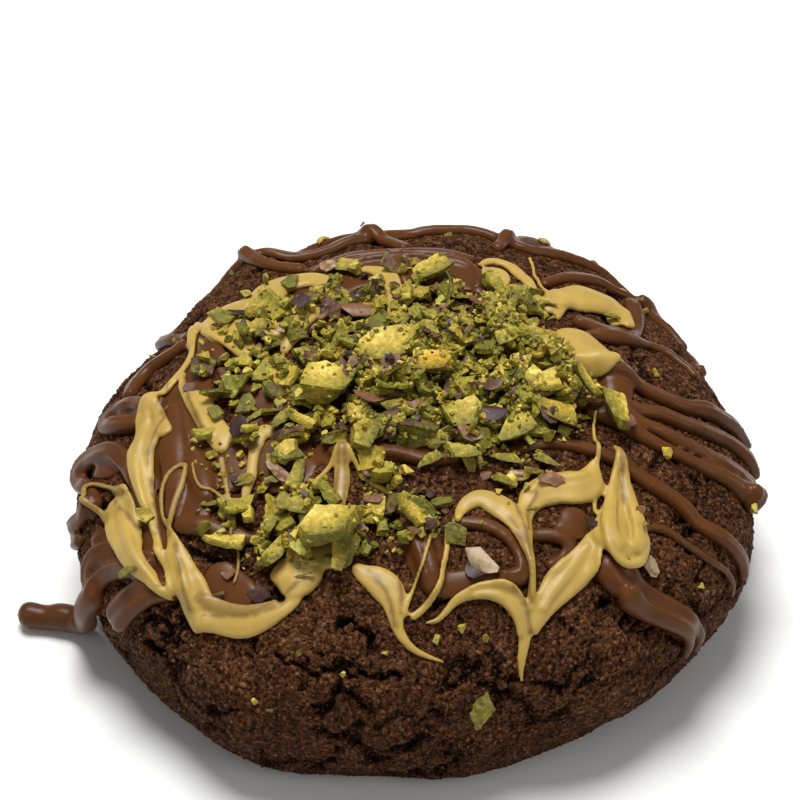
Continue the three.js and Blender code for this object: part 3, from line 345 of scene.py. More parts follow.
# Ribbons so thin that the chocolate under them shows through.
THIN_RIBBONS = ("loop_left", "loop_left_inner", "loop_left_thread", "arc_second_tail",
                "bowl_thread", "bowl_lip", "inner_left_side", "wing_hook")

# ---- the dough's cracks -------------------------------------------------------------------------

# Open cracks: routes of (x, y), then depth and half width.
CRACKS = (
    (((-18.4, -44.2), (-14, -46.4), (-10.4, -47.4), (-6.8, -48.4), (-3, -48)), 1.5, 0.45),
    (((-22, -41), (-21.4, -42.6), (-22.2, -44)), 1.2, 0.4),
    (((-9.6, -41), (-8, -42), (-6.6, -43), (-6, -44.4)), 2, 0.8),
    (((41.6, -10), (42.4, -13), (42, -16.8)), 1.2, 0.4),
    (((36, -25.6), (41.6, -25.2), (42, -29)), 1.2, 0.4),
    (((26, -37), (30, -38.8), (34, -38.5), (39, -39.4), (44, -39)), 1.6, 0.5),
    (((33.2, 12), (33.2, 8.4)), 1.1, 0.4),
    (((12, -51.6), (17.2, -52.4), (18.8, -54.8), (22, -56)), 1.4, 0.5),
    (((0, -54.4), (4, -54.6)), 1.1, 0.4),
    (((-36, -47), (-31, -50), (-26, -50.6)), 1.2, 0.4),
    (((-20, 47), (-12, 50), (-4, 49), (3, 52)), 1.3, 0.45),
    (((20, 52), (27, 50), (33, 52)), 1.2, 0.4),
    (((48, 18), (52, 12), (51, 6)), 1.2, 0.4),
    (((-52, 18), (-50, 25), (-53, 32)), 1.2, 0.4),
)

# ---- the nuts -----------------------------------------------------------------------------------

# The largest pieces: x, y, long, wide, turn in degrees, how green they are (0 pale, 1 skin side),
# and 1 for a thin curved one.
LARGE_NUTS = (
    (-11.4, -4.3, 7.2, 6, 75, 0.42, 0), (-4.2, 0.9, 8.4, 5.4, -4, 0.3, 0),
    (2.4, -3.2, 6.4, 4.4, 12, 0, 0), (-3.1, -10.8, 4.2, 3.6, -30, 0.2, 0),
    (1.3, -13.3, 4.4, 3.2, -20, 1, 0), (-6.4, -15.1, 4.7, 4.4, 75, 0.5, 0),
    (6.9, -10.8, 5.4, 5, 20, 0.5, 0), (3.1, 21.2, 6.4, 4.8, 20, 0.5, 0),
    (-5.7, 7.7, 4, 3, 80, 0.8, 1), (-1.2, 8.3, 4.4, 3.2, 80, 0.42, 0),
    (1.6, 7.4, 3.8, 3.2, 10, 0.45, 0), (4.9, 8, 4, 2.8, -60, 0.12, 0),
    (-10.1, 24.9, 4.2, 3.6, -15, 0.25, 0), (-18.8, 21.9, 3.8, 2.6, 60, 0.75, 1),
    (-22.5, 9.5, 3.6, 3, 50, 0.12, 0), (-19.7, -3.3, 4.4, 2, -15, 0.97, 1),
    (-19.5, -6.4, 3.2, 2.8, 0, 0.6, 0), (-23.7, -1.5, 3, 2, 20, 0.12, 0),
    (-18.1, -9.8, 3.3, 2.8, 30, 0.58, 0), (-15.2, -11, 5.6, 2.4, -18, 0.5, 1),
    (-16.2, -13.7, 3, 2.8, 40, 0.2, 0), (-10.7, -12.9, 3.6, 3.2, 20, 0.85, 0),
    (1.9, -8.7, 4.2, 2.8, -60, 0.6, 0), (6.8, 17, 2.8, 2.4, 0, 0.12, 0),
    (-15.8, -18.9, 4.2, 2.8, 85, 0.48, 0), (-12.1, -22.6, 5.2, 3, -75, 0.4, 0),
    (-19, -19.7, 2.8, 2.4, 10, 0.32, 0), (-16.5, -24.6, 5.8, 3, -6, 0.42, 0),
    (-11.1, -29.3, 8, 6.4, -6, 0.3, 0), (-9.2, -33.4, 3.6, 2.8, 70, 0.08, 0),
    (-24.6, -28.1, 7, 2.6, -4, 0.45, 1), (-18.5, -31.4, 4, 3.6, 30, 0.3, 0),
    (-18.3, -27.4, 4, 2.8, 75, 0.35, 0), (-27.5, -22.7, 2.4, 2.2, 0, 0.52, 0),
    (-22.3, -24.3, 3.4, 1.8, -60, 0.5, 1), (-37.3, -21, 2.6, 2.3, 0, 0.56, 1),
    (-27.2, -33.8, 3.3, 2, 4, 0.88, 0), (-38.6, -28.3, 3.2, 2.6, 30, 0.7, 0),
    (-14.5, -34.9, 4.2, 2, 8, 0.1, 0), (-3.9, -24.9, 3.4, 3, 70, 0.9, 0),
    (-0.5, -27.5, 5.4, 2, -38, 0.35, 1), (-6, -29.5, 3, 2.2, -70, 0.9, 0),
    (5.3, -29.9, 3.4, 3.2, 20, 0.62, 1), (1.1, -31.1, 2.4, 1.4, -10, 0.25, 0),
    (15.9, 5.5, 5.6, 4.2, -8, 0.15, 0), (19.1, 3.5, 3, 2.6, 60, 0.6, 0),
    (14.1, 12.3, 4.2, 3, 60, 0.35, 0), (15.1, 20.6, 3.3, 3, -10, 0.42, 0),
    (17.9, 20.9, 2.4, 2.3, 0, 0.68, 0), (30.9, 20, 3, 2.3, 0, 0.5, 0),
    (19.7, 16.7, 2.5, 2, 0, 0.12, 0), (22.1, 15, 3.2, 1.6, 60, 0.2, 0),
    (19.6, 6.8, 3, 2.7, 0, 0.08, 0), (21.7, 2.3, 2.9, 1.9, 25, 0.02, 0),
    (22.5, -4.5, 6, 3.3, -24, 0.5, 1), (17.9, -5.7, 6, 3.8, -8, 0.45, 1),
    (9.6, 0.8, 3.6, 3.3, 0, 0.62, 1), (8.8, -3.4, 2.8, 2, 0, 0.5, 0),
    (7, -3.1, 3.4, 1.6, -55, 0.12, 0), (13.5, -13.5, 5.2, 3.8, 20, 0.4, 0),
    (18.7, -9.6, 6.2, 4, -14, 0.1, 0), (23.7, -7.9, 2.5, 2.3, 20, 0.12, 0),
    (27.6, -7.4, 5.6, 4.2, -70, 0.4, 0), (9.7, -14.6, 4, 1.9, -75, 0.6, 1),
    (12.3, -17.4, 3.6, 2.5, 5, 0.35, 0), (18.3, -17.4, 6, 2.3, -27, 0.4, 0),
    (16.7, -19.5, 2.2, 1.7, 0, 0.12, 0), (3.6, -15.4, 2.8, 2.7, 0, 0.35, 0),
    (6.7, -17.9, 4.3, 3.8, 0, 0.42, 0), (3.3, -21.1, 3, 1.6, 0, 0.97, 0),
    (3.5, -24, 2.9, 2.6, 0, 0.66, 0), (2.5, -18.7, 3.6, 2.7, 20, 0.4, 0),
    (10.2, -18.4, 2.9, 2, -15, 0.3, 0), (12.1, -21.4, 3, 2.7, 0, 0.3, 0),
    (14.2, -20.8, 2.2, 2, 0, 0.1, 0), (16.6, -25.8, 2.5, 2.1, 30, 0.12, 0),
    (8.3, -27, 4, 1.9, -5, 0.3, 0), (-8.4, -8.4, 3.4, 2.6, 10, 0.7, 0),
    (10.3, 6.1, 3.2, 2.4, 20, 0.4, 0), (5.6, 12.7, 2.6, 2.2, 0, 0.45, 0),
    (-2.9, 16.9, 3, 2.2, 10, 0.5, 0), (-2.2, 24.7, 2.8, 2, 10, 0.7, 0),
    (-14.7, 5.5, 3.2, 2, 30, 0.45, 0), (-9.2, 4.9, 3.4, 2.8, -20, 0.6, 0),
    (-15.6, -6.8, 3.4, 2.6, 20, 0.55, 0), (-21.8, -7.7, 3, 2.2, 20, 0.35, 0),
    (-25.7, -14.8, 2.6, 1.8, 10, 0.1, 0), (-23.2, -19, 3.2, 2.4, 0, 0.12, 0),
    (9.6, -53.6, 4.2, 3.4, 60, 0.62, 0),
)
# Where chopped nuts fell: x, y, reach along x and y, turn in degrees, share of all of them.
NUT_FALLS = (
    (6, -3, 14, 12, 0, 0.34), (-6, -2, 9, 12, 0, 0.14), (16, 2, 9, 12, 0, 0.14),
    (-12, 10, 10, 8, 20, 0.055), (-24, 10, 8, 9, 0, 0.035), (-17, 18, 9, 6, 0, 0.014),
    (-4, 19, 8, 6, 0, 0.02), (-22, -8, 7, 10, 0, 0.045),
    (-12, -27, 7, 5, 0, 0.05), (-4, -24, 9, 6, 0, 0.05), (6, 14, 12, 6, 0, 0.04),
    (-20, -25, 8, 6, 0, 0.025), (8, -22, 10, 5, 0, 0.015),
)
# How far a fall scatters past its reach.
FALL_EDGE = 1.12
# Crumbs fall from this height on to any of these pieces.
FALL_HEIGHT = 12.0
LANDINGS = ("cookie_crust", "milk_chocolate", "pistachio_cream", "nut_meal",
            "chopped_pistachio_large", "chopped_pistachio_medium", "chopped_pistachio_small")
# The largest pieces are chopped at this share of their sizes above.
LARGE_SHARE = 0.95
# The end of the range from which a falling piece's turn is drawn, in radians.
ANY_TURN = 6.28
# What the nuts leave clear: routes of (x, y), then how far either side.
CLEAR_ROUTES = (
    (((-9.8, -13.6), (-9.4, -25)), 2.6),
    (((-2.6, -16.6), (7, -16.8)), 1.3),
    (((1, -20), (8, -22), (6, -24)), 2),
    (((-7.6, 27.6), (-3.6, 20), (-4, 14), (-3.2, 9)), 0.8),
    (((25.6, -6), (25.8, -14), (25.6, -24)), 1.4),
    (((28, -12), (29.3, -30)), 4),
    (((24, -18.6), (18, -21.4), (15, -30), (16, -48)), 2.4),
    (((7, -23), (12, -26), (15, -33)), 2),
    (((24, -27), (17, -42)), 3),
    (((0, -42), (8, -38), (15, -42)), 2),
    (((-7, -34), (-2, -42), (4, -47)), 2.4),
    (((-35, 10), (-39, 0), (-38, -12), (-34, -32)), 2.6),
    (((-34, 2), (-27.6, -10)), 1.8),
    (((-42, -15), (-33, -33)), 2.4),
    (((-32, -27), (-27, -38), (-16, -37)), 2),
    (((22, 11), (27, 2.5)), 4.2),
    (((22, 21), (33, 26)), 3),
    (((9.6, 18), (11, 27), (18, 21)), 1.2),
    (((-24, 21), (-20, 24), (-16, 23.6)), 2.4),
    (((-33.6, 16), (-31.4, 20), (-27.4, 19.6)), 2.2),
    (((-19.4, -9.6), (-22.6, -18), (-22, -27)), 1.1),
)
# Loose bits of nut that rolled off on to the dough: x, y, length.
STRAY_NUTS = (
    (-17, -40.6, 1.3), (-15.6, -44, 1), (-22.8, -49.4, 1.2), (-10, -47.6, 1.1),
    (10, -44, 1.4), (42, -30, 1.3), (-21, -51, 1.2), (50, -14, 2.2), (-40.6, 17, 2), (-39, 19, 1.4),
    (-42, 15, 1.2), (31, -25.6, 1.8), (30.6, 7, 1.6), (35.6, -11, 2.2), (36, 6.6, 1.7),
    (3, -44, 1.6), (6.4, -42.6, 1.5), (-4, -45.4, 1.1), (33, -19, 1.2), (5, 38, 1.4),
    (-8, 41, 1.2), (20, 40, 1.5), (-30, 36, 1.4), (38, 30, 1.3), (12, 46, 1), (-20, 50, 1.2),
)
# Flakes of brown and purple skin: x, y, long, wide, turn, how purple.
SKIN_FLAKES = (
    (-16.4, 13.2, 6.4, 2.6, -75, 0.95), (-7.8, 13.4, 6, 3, -10, 0.3),
    (-13.1, 26.4, 3.4, 2.6, -60, 0.1), (-25.9, 15.7, 4, 1.4, 8, 0.9), (3.6, 13, 2.6, 2, 0, 0.4),
    (9.3, 11.4, 4, 2.2, -15, 0.45), (-3.2, -4.4, 2.6, 2.4, 0, 0.4),
    (-6.2, -8.9, 4.4, 2.6, 0, 0.35), (10.7, -10.4, 4.4, 2.8, -20, 0.98),
    (9.7, -6.5, 4.4, 2, 0, 0.55), (7.5, -14.6, 3.6, 2.2, -20, 0.2),
    (-24.1, -10.4, 3.8, 2.2, 70, 0.95), (9.7, -19.6, 1.6, 1.3, 0, 0.3),
    (-18.3, -18.4, 4.6, 1.6, -45, 0.12), (14.1, -18.9, 3, 1.3, 10, 0.15),
    (17.9, -10.8, 3, 1.6, -50, 0.7), (18.6, -20.1, 4, 1.9, 5, 0.2),
    (29.2, -8.7, 4.2, 1.8, 60, 0.4), (24, -26.5, 2, 1.6, 0, 0.9), (8.1, -35.1, 3, 2.4, -30, 0.95),
    (9.2, -33.8, 5, 2.6, -40, 0), (33.5, -30.4, 2.8, 2.1, -60, 0.03), (-3, 28.6, 2, 1.4, 0, 0.5),
    (-9.7, -2.5, 3.8, 1, -75, 0.6), (-5.7, -24.1, 3.4, 2, 20, 0.3),
    (1.9, -28.6, 3, 1.6, -40, 0.75), (-24.9, -32.1, 2, 1.4, 0, 0.3),
    (-20.5, -35.6, 3.4, 2.4, -20, 0.85), (-32.2, -0.5, 2.2, 1.4, 0, 0.6),
    (31, -22.7, 1.6, 1.2, 0, 0.4),
)


# ---- what a user would change -------------------------------------------------------------------


def length(name, default, description):
    """A length in metres."""
    return bpy.props.FloatProperty(
        name=name, description=description, default=default, subtype="DISTANCE", unit="LENGTH")


def amount(name, default, description):
    return bpy.props.IntProperty(name=name, description=description, default=default, min=0)


def colour(name, default, description):
    """An sRGB colour in hex."""
    return bpy.props.StringProperty(
        name=name, description="Hex colour " + description, default=default)


class DoughProperties(bpy.types.PropertyGroup):
    """Size and colours of the baked dough."""

    waist_radius: length("Waist radius", 0.050, "Radius at the widest height")
    base_radius: length("Base radius", 0.0435, "Radius of the flat base")
    height: length("Height", 0.035, "Height of the dough in the middle")
    waist_height: length("Waist height", 0.013, "Height of the widest place")
    grain: length("Grain", 0.0008, "Mean size of the crumbs in the crust")
    loose_grains: amount("Loose grains", 26000, "How many loose crumbs lie on the crust")
    crust: colour("Crust", "#53321b", "of the crust")
    # Crust: pits is painted shade in pits and cracks, grain_tops painted highlight and dry crumb.
    pits: colour("Pits", "#0f0602", "down in pits and cracks")
    grain_tops: colour("Grain tops", "#785640", "of the dry tops of the grains")


class DrizzleProperties(bpy.types.PropertyGroup):
    """Colours of the milk chocolate and the pistachio cream."""

    chocolate: colour("Chocolate", "#5a3416", "of the milk chocolate")
    cream: colour("Cream", "#b89848", "of the pistachio cream")
    cream_shade: colour("Cream shade", "#5d3a1c", "where chocolate shows through")
    rope_height: bpy.props.FloatProperty(
        name="Rope height", description="Height of a chocolate rope for its width", default=0.62,
        min=0.2, max=1.0)


class NutProperties(bpy.types.PropertyGroup):
    """How many chopped nuts there are, and their colours."""

    medium: amount("Medium pieces", 290, "Pieces of 2 to 4 mm")
    small: amount("Small pieces", 1150, "Pieces of 1 to 2 mm")
    crumbs: amount("Crumbs", 1500, "Crumbs under 1 mm")
    flakes: amount("Skin flakes", 90, "Small loose flakes of skin")
    heart: colour("Heart", "#d3c268", "in the middle of a kernel")
    flesh: colour("Flesh", "#a5943a", "of the kernel's flesh")
    rim: colour("Rim", "#6b6a24", "just under the skin")
    skin: colour("Skin", "#6a4630", "of the skin")
    skin_purple: colour("Purple skin", "#37211f", "of the darkest skin")


class StageProperties(bpy.types.PropertyGroup):
    """Camera, floor and light."""

    elevation: bpy.props.FloatProperty(
        name="Camera elevation", description="Angle of the camera above the table",
        default=math.radians(44), subtype="ANGLE", unit="ROTATION")
    distance: length("Camera distance", 0.350, "From the middle of the cookie")
    lens: bpy.props.FloatProperty(
        name="Lens", description="Focal length on a 36 mm sensor", default=106.8)
    floor: colour("Floor", "#f4f4f2", "of the floor")


# ---- small helpers ------------------------------------------------------------------------------


def linear(hex_colour):
    """An sRGB hex colour as linear red, green, blue and alpha."""
    values = [int(hex_colour[i:i + 2], 16) / 255 for i in (1, 3, 5)]
    return [v / 12.92 if v <= 0.04045 else ((v + 0.055) / 1.055) ** 2.4 for v in values] + [1.0]


def smooth_step(low, high, value):
    share = np.clip((np.asarray(value, float) - low) / (high - low), 0, 1)
    return share * share * (3 - 2 * share)


def noise_at(points, size, seed):
    """Smooth noise about 0, whose waves are this many mm long, at an array of points."""
    shifted = (points / size + seed * 17.31).tolist()
    return np.array([noise.noise(point) for point in shifted])


def cells_at(points, size, seed):
    """Distances to the nearest two of a scatter of points this many mm apart, as shares of it."""
    shifted = (points / size + seed * 11.17).tolist()
    nearest = [noise.voronoi(point)[0] for point in shifted]
    return np.array([(near[0], near[1]) for near in nearest])


def distance_to_route(x, y, route):
    """Distance of each place from a route of (x, y) on the map."""
    best = np.full(np.shape(x), 1e9)
    for (ax, ay), (bx, by) in zip(route[:-1], route[1:]):
        dx, dy = bx - ax, by - ay
        share = np.clip(((x - ax) * dx + (y - ay) * dy) / (dx * dx + dy * dy), 0, 1)
        best = np.minimum(best, np.hypot(x - ax - share * dx, y - ay - share * dy))
    return best


def sampled(route, step):
    """Even samples of a smooth curve through the rows of a route."""
    rows = np.array(route, float)
    rows = np.vstack((2 * rows[0] - rows[1], rows, 2 * rows[-1] - rows[-2]))
    share = np.linspace(0, 1, 24, endpoint=False)[:, None]
    curve = []
    for a, b, c, d in zip(rows[:-3], rows[1:-2], rows[2:-1], rows[3:]):
        curve.append(0.5 * (2 * b + (c - a) * share + (2 * a - 5 * b + 4 * c - d) * share**2
                            + (3 * b - a - 3 * c + d) * share**3))
    curve = np.vstack(curve + [rows[-2][None]])
    space = curve[:, :-1]
    run = np.r_[0, np.cumsum(np.linalg.norm(np.diff(space, axis=0), axis=1))]
    count = max(4, int(round(run[-1] / step)) + 1)
    wanted = np.linspace(0, run[-1], count)
    return np.stack([np.interp(wanted, run, column) for column in curve.T], 1)


def unit(rows):
    return rows / np.maximum(np.linalg.norm(rows, axis=-1, keepdims=True), 1e-9)


# ---- the form and the map of lifts --------------------------------------------------------------


class Form:
    """The plain shape of the dough."""

    def __init__(self, sizes):
        waist, base = sizes.waist_radius / MM, sizes.base_radius / MM
        tall, low = sizes.height / MM, sizes.waist_height / MM
        angle = np.linspace(math.pi / 2, 0, PROFILE_STEPS)
        radius = waist * np.cos(angle).clip(0) ** (2 / DOME_EXPONENT)
        height = low + (tall - low) * np.sin(angle).clip(0) ** (2 / DOME_EXPONENT)
        turn = angle[1:]
        self.radius = np.r_[radius, base + (waist - base) * np.sin(turn), 0]
        self.height = np.r_[height, low * (1 - np.cos(turn)), 0]
        steps = np.hypot(np.diff(self.radius), np.diff(self.height))
        self.down = np.r_[0, np.cumsum(steps)]
        self.waist = waist
        self.foot = self.down[-2]
        self.full = self.down[-1]

    def plain(self, x, y):
        bearing = np.arctan2(y, x)
        away = np.hypot(x, y)
        radius = np.interp(away, self.down, self.radius)
        height = np.interp(away, self.down, self.height)
        factor = 0
        for waves, size, crest in OUTLINE_WAVES:
            factor = factor + size / self.waist * np.cos(waves * (bearing - math.radians(crest)))
        radius = radius * (1 + factor * np.clip(radius / self.waist, 0, 1))
        return np.stack((radius * np.cos(bearing), radius * np.sin(bearing), height), -1)

    def outward(self, x, y, reach=0.4):
        along = self.plain(x + reach, y) - self.plain(x - reach, y)
        across = self.plain(x, y + reach) - self.plain(x, y - reach)
        return unit(np.cross(along, across))

    def mounds(self, x, y):
        rise = 0
        for mx, my, reach, height in MOUNDS:
            rise = rise + height * np.exp(-((x - mx) ** 2 + (y - my) ** 2) / reach**2)
        return rise * np.clip((self.foot - np.hypot(x, y)) / MOUND_FADE, 0, 1)

    def at(self, x, y, lift):
        return self.plain(x, y) + self.outward(x, y) * np.asarray(lift)[..., None]


class LiftMap:
    """The height of everything laid so far above the plain dough, over the unrolled top."""

    CELL = 0.4
    REACH = 76.0

    def __init__(self):
        self.side = int(2 * self.REACH / self.CELL) + 1
        line = np.linspace(-self.REACH, self.REACH, self.side)
        self.x, self.y = np.meshgrid(line, line)
        self.lift = np.zeros_like(self.x)
        self.bed = None

    def read(self, x, y, grid=None):
        grid = self.lift if grid is None else grid
        column = np.clip((np.asarray(x, float) + self.REACH) / self.CELL, 0, self.side - 1.001)
        row = np.clip((np.asarray(y, float) + self.REACH) / self.CELL, 0, self.side - 1.001)
        c, r = column.astype(int), row.astype(int)
        u, v = column - c, row - r
        low = grid[r, c] * (1 - u) + grid[r, c + 1] * u
        high = grid[r + 1, c] * (1 - u) + grid[r + 1, c + 1] * u
        return low * (1 - v) + high * v

    def patch(self, x, y, reach):
        """The slices of the map within a reach of a place."""
        def span(middle):
            first = int((middle - reach + self.REACH) / self.CELL)
            last = int((middle + reach + self.REACH) / self.CELL) + 2
            return slice(max(first, 0), min(last, self.side))
        return span(y), span(x)

    def soft(self, width):
        """The map blurred over a width, first raised to the highest lift near each place."""
        grid = self.lift
        for axis in (0, 1):
            grid = np.maximum(grid, np.maximum(np.roll(grid, 1, axis), np.roll(grid, -1, axis)))
        half = max(1, int(2.2 * width / self.CELL))
        weight = np.exp(-((np.arange(-half, half + 1) * self.CELL / width) ** 2) / 2)
        weight /= weight.sum()
        for axis in (0, 1):
            grid = sum(w * np.roll(grid, k - half, axis) for k, w in enumerate(weight))
        return grid

    def raise_disc(self, x, y, half, middle, rise):
        """Raises the map to a cap of this half width, whose middle is at a lift."""
        rows, columns = self.patch(x, y, half)
        away = np.hypot(self.x[rows, columns] - x, self.y[rows, columns] - y) / half
        cap = middle + rise * np.sqrt(np.clip(1 - away * away, 0, 1))
        self.lift[rows, columns] = np.where(
            away < 1, np.maximum(self.lift[rows, columns], cap), self.lift[rows, columns])


bench = {}


def on_bench(name):
    if name not in bench:
        raise RuntimeError(f"{name} isn't made yet: run the steps in the panel's order")
    return bench[name]


# ---- meshes -------------------------------------------------------------------------------------


def arrays_of(bm):
    """Vertices and triangles of a bmesh, which is freed."""
    bmesh.ops.triangulate(bm, faces=bm.faces[:])
    bm.verts.index_update()
    vertices = np.array([vertex.co[:] for vertex in bm.verts])
    faces = np.array([[vertex.index for vertex in face.verts] for face in bm.faces])
    bm.free()
    return vertices, faces


class Gathered:
    """Many small shapes gathered into one mesh, with values for each vertex."""

    def __init__(self):
        self.vertices, self.faces, self.values, self.count = [], [], {}, 0

    def add(self, vertices, faces, **values):
        self.vertices.append(vertices)
        self.faces.append(faces + self.count)
        self.count += len(vertices)
        for name, value in values.items():
            value = np.asarray(value, float)
            if value.ndim == 0:
                value = np.full(len(vertices), float(value))
            self.values.setdefault(name, []).append(value)

    def mesh(self, name):
        values = {key: np.concatenate(parts) for key, parts in self.values.items()}
        return mesh_from(name, np.concatenate(self.vertices), np.concatenate(self.faces), values)


def mesh_from(name, vertices, faces, values=None):
    """A mesh from arrays in mm."""
    mesh = bpy.data.meshes.new(name)
    mesh.vertices.add(len(vertices))
    mesh.vertices.foreach_set("co", (vertices * MM).astype(np.float32).ravel())
    mesh.loops.add(faces.size)
    mesh.loops.foreach_set("vertex_index", faces.astype(np.int32).ravel())
    mesh.polygons.add(len(faces))
    starts = np.arange(0, faces.size, faces.shape[1], dtype=np.int32)
    mesh.polygons.foreach_set("loop_start", starts)
    mesh.update(calc_edges=True)
    mesh.validate()
    for key, value in (values or {}).items():
        add_values(mesh, key, value)
    return mesh


def add_values(mesh, name, value):
    value = np.asarray(value, np.float32)
    if value.ndim == 1:
        mesh.attributes.new(name, "FLOAT", "POINT").data.foreach_set("value", value)
    else:
        layer = mesh.attributes.new(name, "FLOAT_VECTOR", "POINT")
        layer.data.foreach_set("vector", value.ravel())


def points_of(mesh):
    """The vertices of a mesh in mm."""
    flat = np.empty(len(mesh.vertices) * 3, np.float32)
    mesh.vertices.foreach_get("co", flat)
    return flat.reshape(-1, 3).astype(float) / MM


def shown(name, mesh, material, sharp=None):
    """Shows a mesh as an object with its material, smooth but for edges sharper than an angle."""
    mesh.materials.clear()
    mesh.materials.append(material)
    mesh.shade_smooth()
    if sharp:
        mesh.set_sharp_from_angle(angle=math.radians(sharp))
    piece = bpy.data.objects.new(name, mesh)
    bpy.context.scene.collection.objects.link(piece)
    return piece


def fused(name, mesh, voxel, passes):
    """The mesh's parts run together into one skin, then eased by smoothing."""
    rough = bpy.data.objects.new(name, mesh)
    bpy.context.scene.collection.objects.link(rough)
    remesh = rough.modifiers.new("fuse", "REMESH")
    remesh.mode = "VOXEL"
    remesh.voxel_size = voxel * MM
    depsgraph = bpy.context.evaluated_depsgraph_get()
    skin = bpy.data.meshes.new_from_object(rough.evaluated_get(depsgraph))
    bpy.data.objects.remove(rough)
    bpy.data.meshes.remove(mesh)
    bm = bmesh.new()
    bm.from_mesh(skin)
    for _ in range(passes):
        bmesh.ops.smooth_vert(
            bm, verts=bm.verts, factor=0.5, use_axis_x=True, use_axis_y=True, use_axis_z=True)
    bm.to_mesh(skin)
    bm.free()
    return skin


def tree_of(*meshes):
    """A search tree of all the faces of some meshes, in mm."""
    points, faces = [], []
    for mesh in meshes:
        first = len(points)
        points += points_of(mesh).tolist()
        faces += [[first + v for v in p.vertices] for p in mesh.polygons]
    return BVHTree.FromPolygons(points, faces)


sphere_cache = {}


def unit_sphere(sides, rows):
    """Vertices and triangles of a ball made of rows from its top pole to its bottom pole."""
    if (sides, rows) not in sphere_cache:
        bm = bmesh.new()
        bmesh.ops.create_uvsphere(bm, u_segments=sides, v_segments=rows, radius=1)
        sphere_cache[sides, rows] = arrays_of(bm)
    return sphere_cache[sides, rows]


def round_end(run, half):
    """Shares of full width along a strand that closes in half circles at both its ends."""
    reach = np.minimum(run, run[-1] - run)
    share = np.clip(reach / np.maximum(half, 0.15), 0, 1)
    return np.sqrt(np.clip(1 - (1 - share) ** 2, 0, 1))


def rings(sides, count):
    """A ball as rings along a strand: each vertex's ring and its place across and up, and faces."""
    ball, faces = unit_sphere(sides, count - 1)
    ring = np.rint(np.arccos(np.clip(ball[:, 2], -1, 1)) / math.pi * (count - 1)).astype(int)
    angle = np.arctan2(ball[:, 1], ball[:, 0])
    pole = (ring == 0) | (ring == count - 1)
    return ring, np.where(pole, 0, np.cos(angle)), np.where(pole, 0, np.sin(angle)), faces


def lay_strand(into, form, lifts, route, step, softness, rise_of, profile, sunk=0.35, edge=0.9):
    """Lays a strand along a route so that it follows what lies under it, and adds it to the map.

    rise_of gives the height over what carries it for an array of widths, and profile the share of
    it at each place across, from -1 to 1.
    """
    rows = sampled(route, step)
    x, y, width = rows.T
    run = np.r_[0, np.cumsum(np.hypot(np.diff(x), np.diff(y)))]
    half = width / 2
    closing = round_end(run, half)
    heading = unit(np.stack((np.gradient(x), np.gradient(y)), 1))
    row, across, up, faces = rings(STRAND_SIDES, len(rows))
    reach = across * half[row] * closing[row]
    px = x[row] + heading[row, 1] * reach
    py = y[row] - heading[row, 0] * reach
    under = lifts.soft(softness)
    if lifts.bed is not None:
        under = lifts.bed + STACKING * (under - lifts.bed)
    beneath = lifts.read(px, py, under)
    centre = lifts.read(x, y, under)
    beneath = 0.65 * beneath + 0.35 * centre[row]
    rise = rise_of(width)[row] * closing[row]
    over = rise * profile(across) * np.abs(up) ** edge
    lift = beneath + np.where(up > 0, over, -sunk * np.abs(up))
    into.add(form.at(px, py, lift), faces[:, ::-1])
    crown = rise_of(width) * closing
    for i in range(0, len(rows), 2):
        lifts.raise_disc(x[i], y[i], max(half[i] * closing[i], 0.3), centre[i], crown[i])


# ---- materials ----------------------------------------------------------------------------------


def add(tree, kind, settings=None, stops=(), **sockets):
    """Adds a node, with its settings, a ramp's stops, and a value or a link for each socket.

    A socket is named, or numbered as i0, i1 and so on. A node given for it feeds it from its own
    first output.
    """
    node = tree.nodes.new(kind)
    for key, value in (settings or {}).items():
        setattr(node, key, value)
    if stops:
        elements = node.color_ramp.elements
        while len(elements) < len(stops):
            elements.new(0.5)
        for element, (place, tone) in zip(elements, stops):
            element.position = place
            element.color = tone
    for key, value in sockets.items():
        numbered = key[0] == "i" and key[1:].isdigit()
        socket = node.inputs[int(key[1:]) if numbered else key.replace("_", " ")]
        if isinstance(value, bpy.types.Node):
            value = value.outputs[0]
        if isinstance(value, bpy.types.NodeSocket):
            tree.links.new(value, socket)
        else:
            socket.default_value = value
    return node


# Settings of nodes that mix or multiply two colours, and that add and multiply values.
MIX = {"data_type": "RGBA", "blend_type": "MIX"}
TINT = {"data_type": "RGBA", "blend_type": "MULTIPLY"}
PLUS = {"operation": "ADD"}
TIMES = {"operation": "MULTIPLY"}
TIMES_PLUS = {"operation": "MULTIPLY_ADD"}


def new_material(name):
    """A material, its empty node tree, and a place on the object as the patterns' coordinate."""
    material = bpy.data.materials.new(name)
    material.use_nodes = True
    tree = material.node_tree
    tree.nodes.clear()
    return material, tree, add(tree, "ShaderNodeTexCoord").outputs["Object"]


def finish_material(tree, shader, **constants):
    """Sets the shader's constants and makes it the surface."""
    for name, value in constants.items():
        shader.inputs[name.replace("_", " ")].default_value = value
    add(tree, "ShaderNodeOutputMaterial", Surface=shader)


def scaled(tone, factor):
    return [part * factor for part in tone[:3]] + [1]


def grey(level):
    return level, level, level, 1


def per_mm(size):
    """The scale at which a pattern on metre coordinates repeats every this many mm."""
    return 1 / (size * MM)


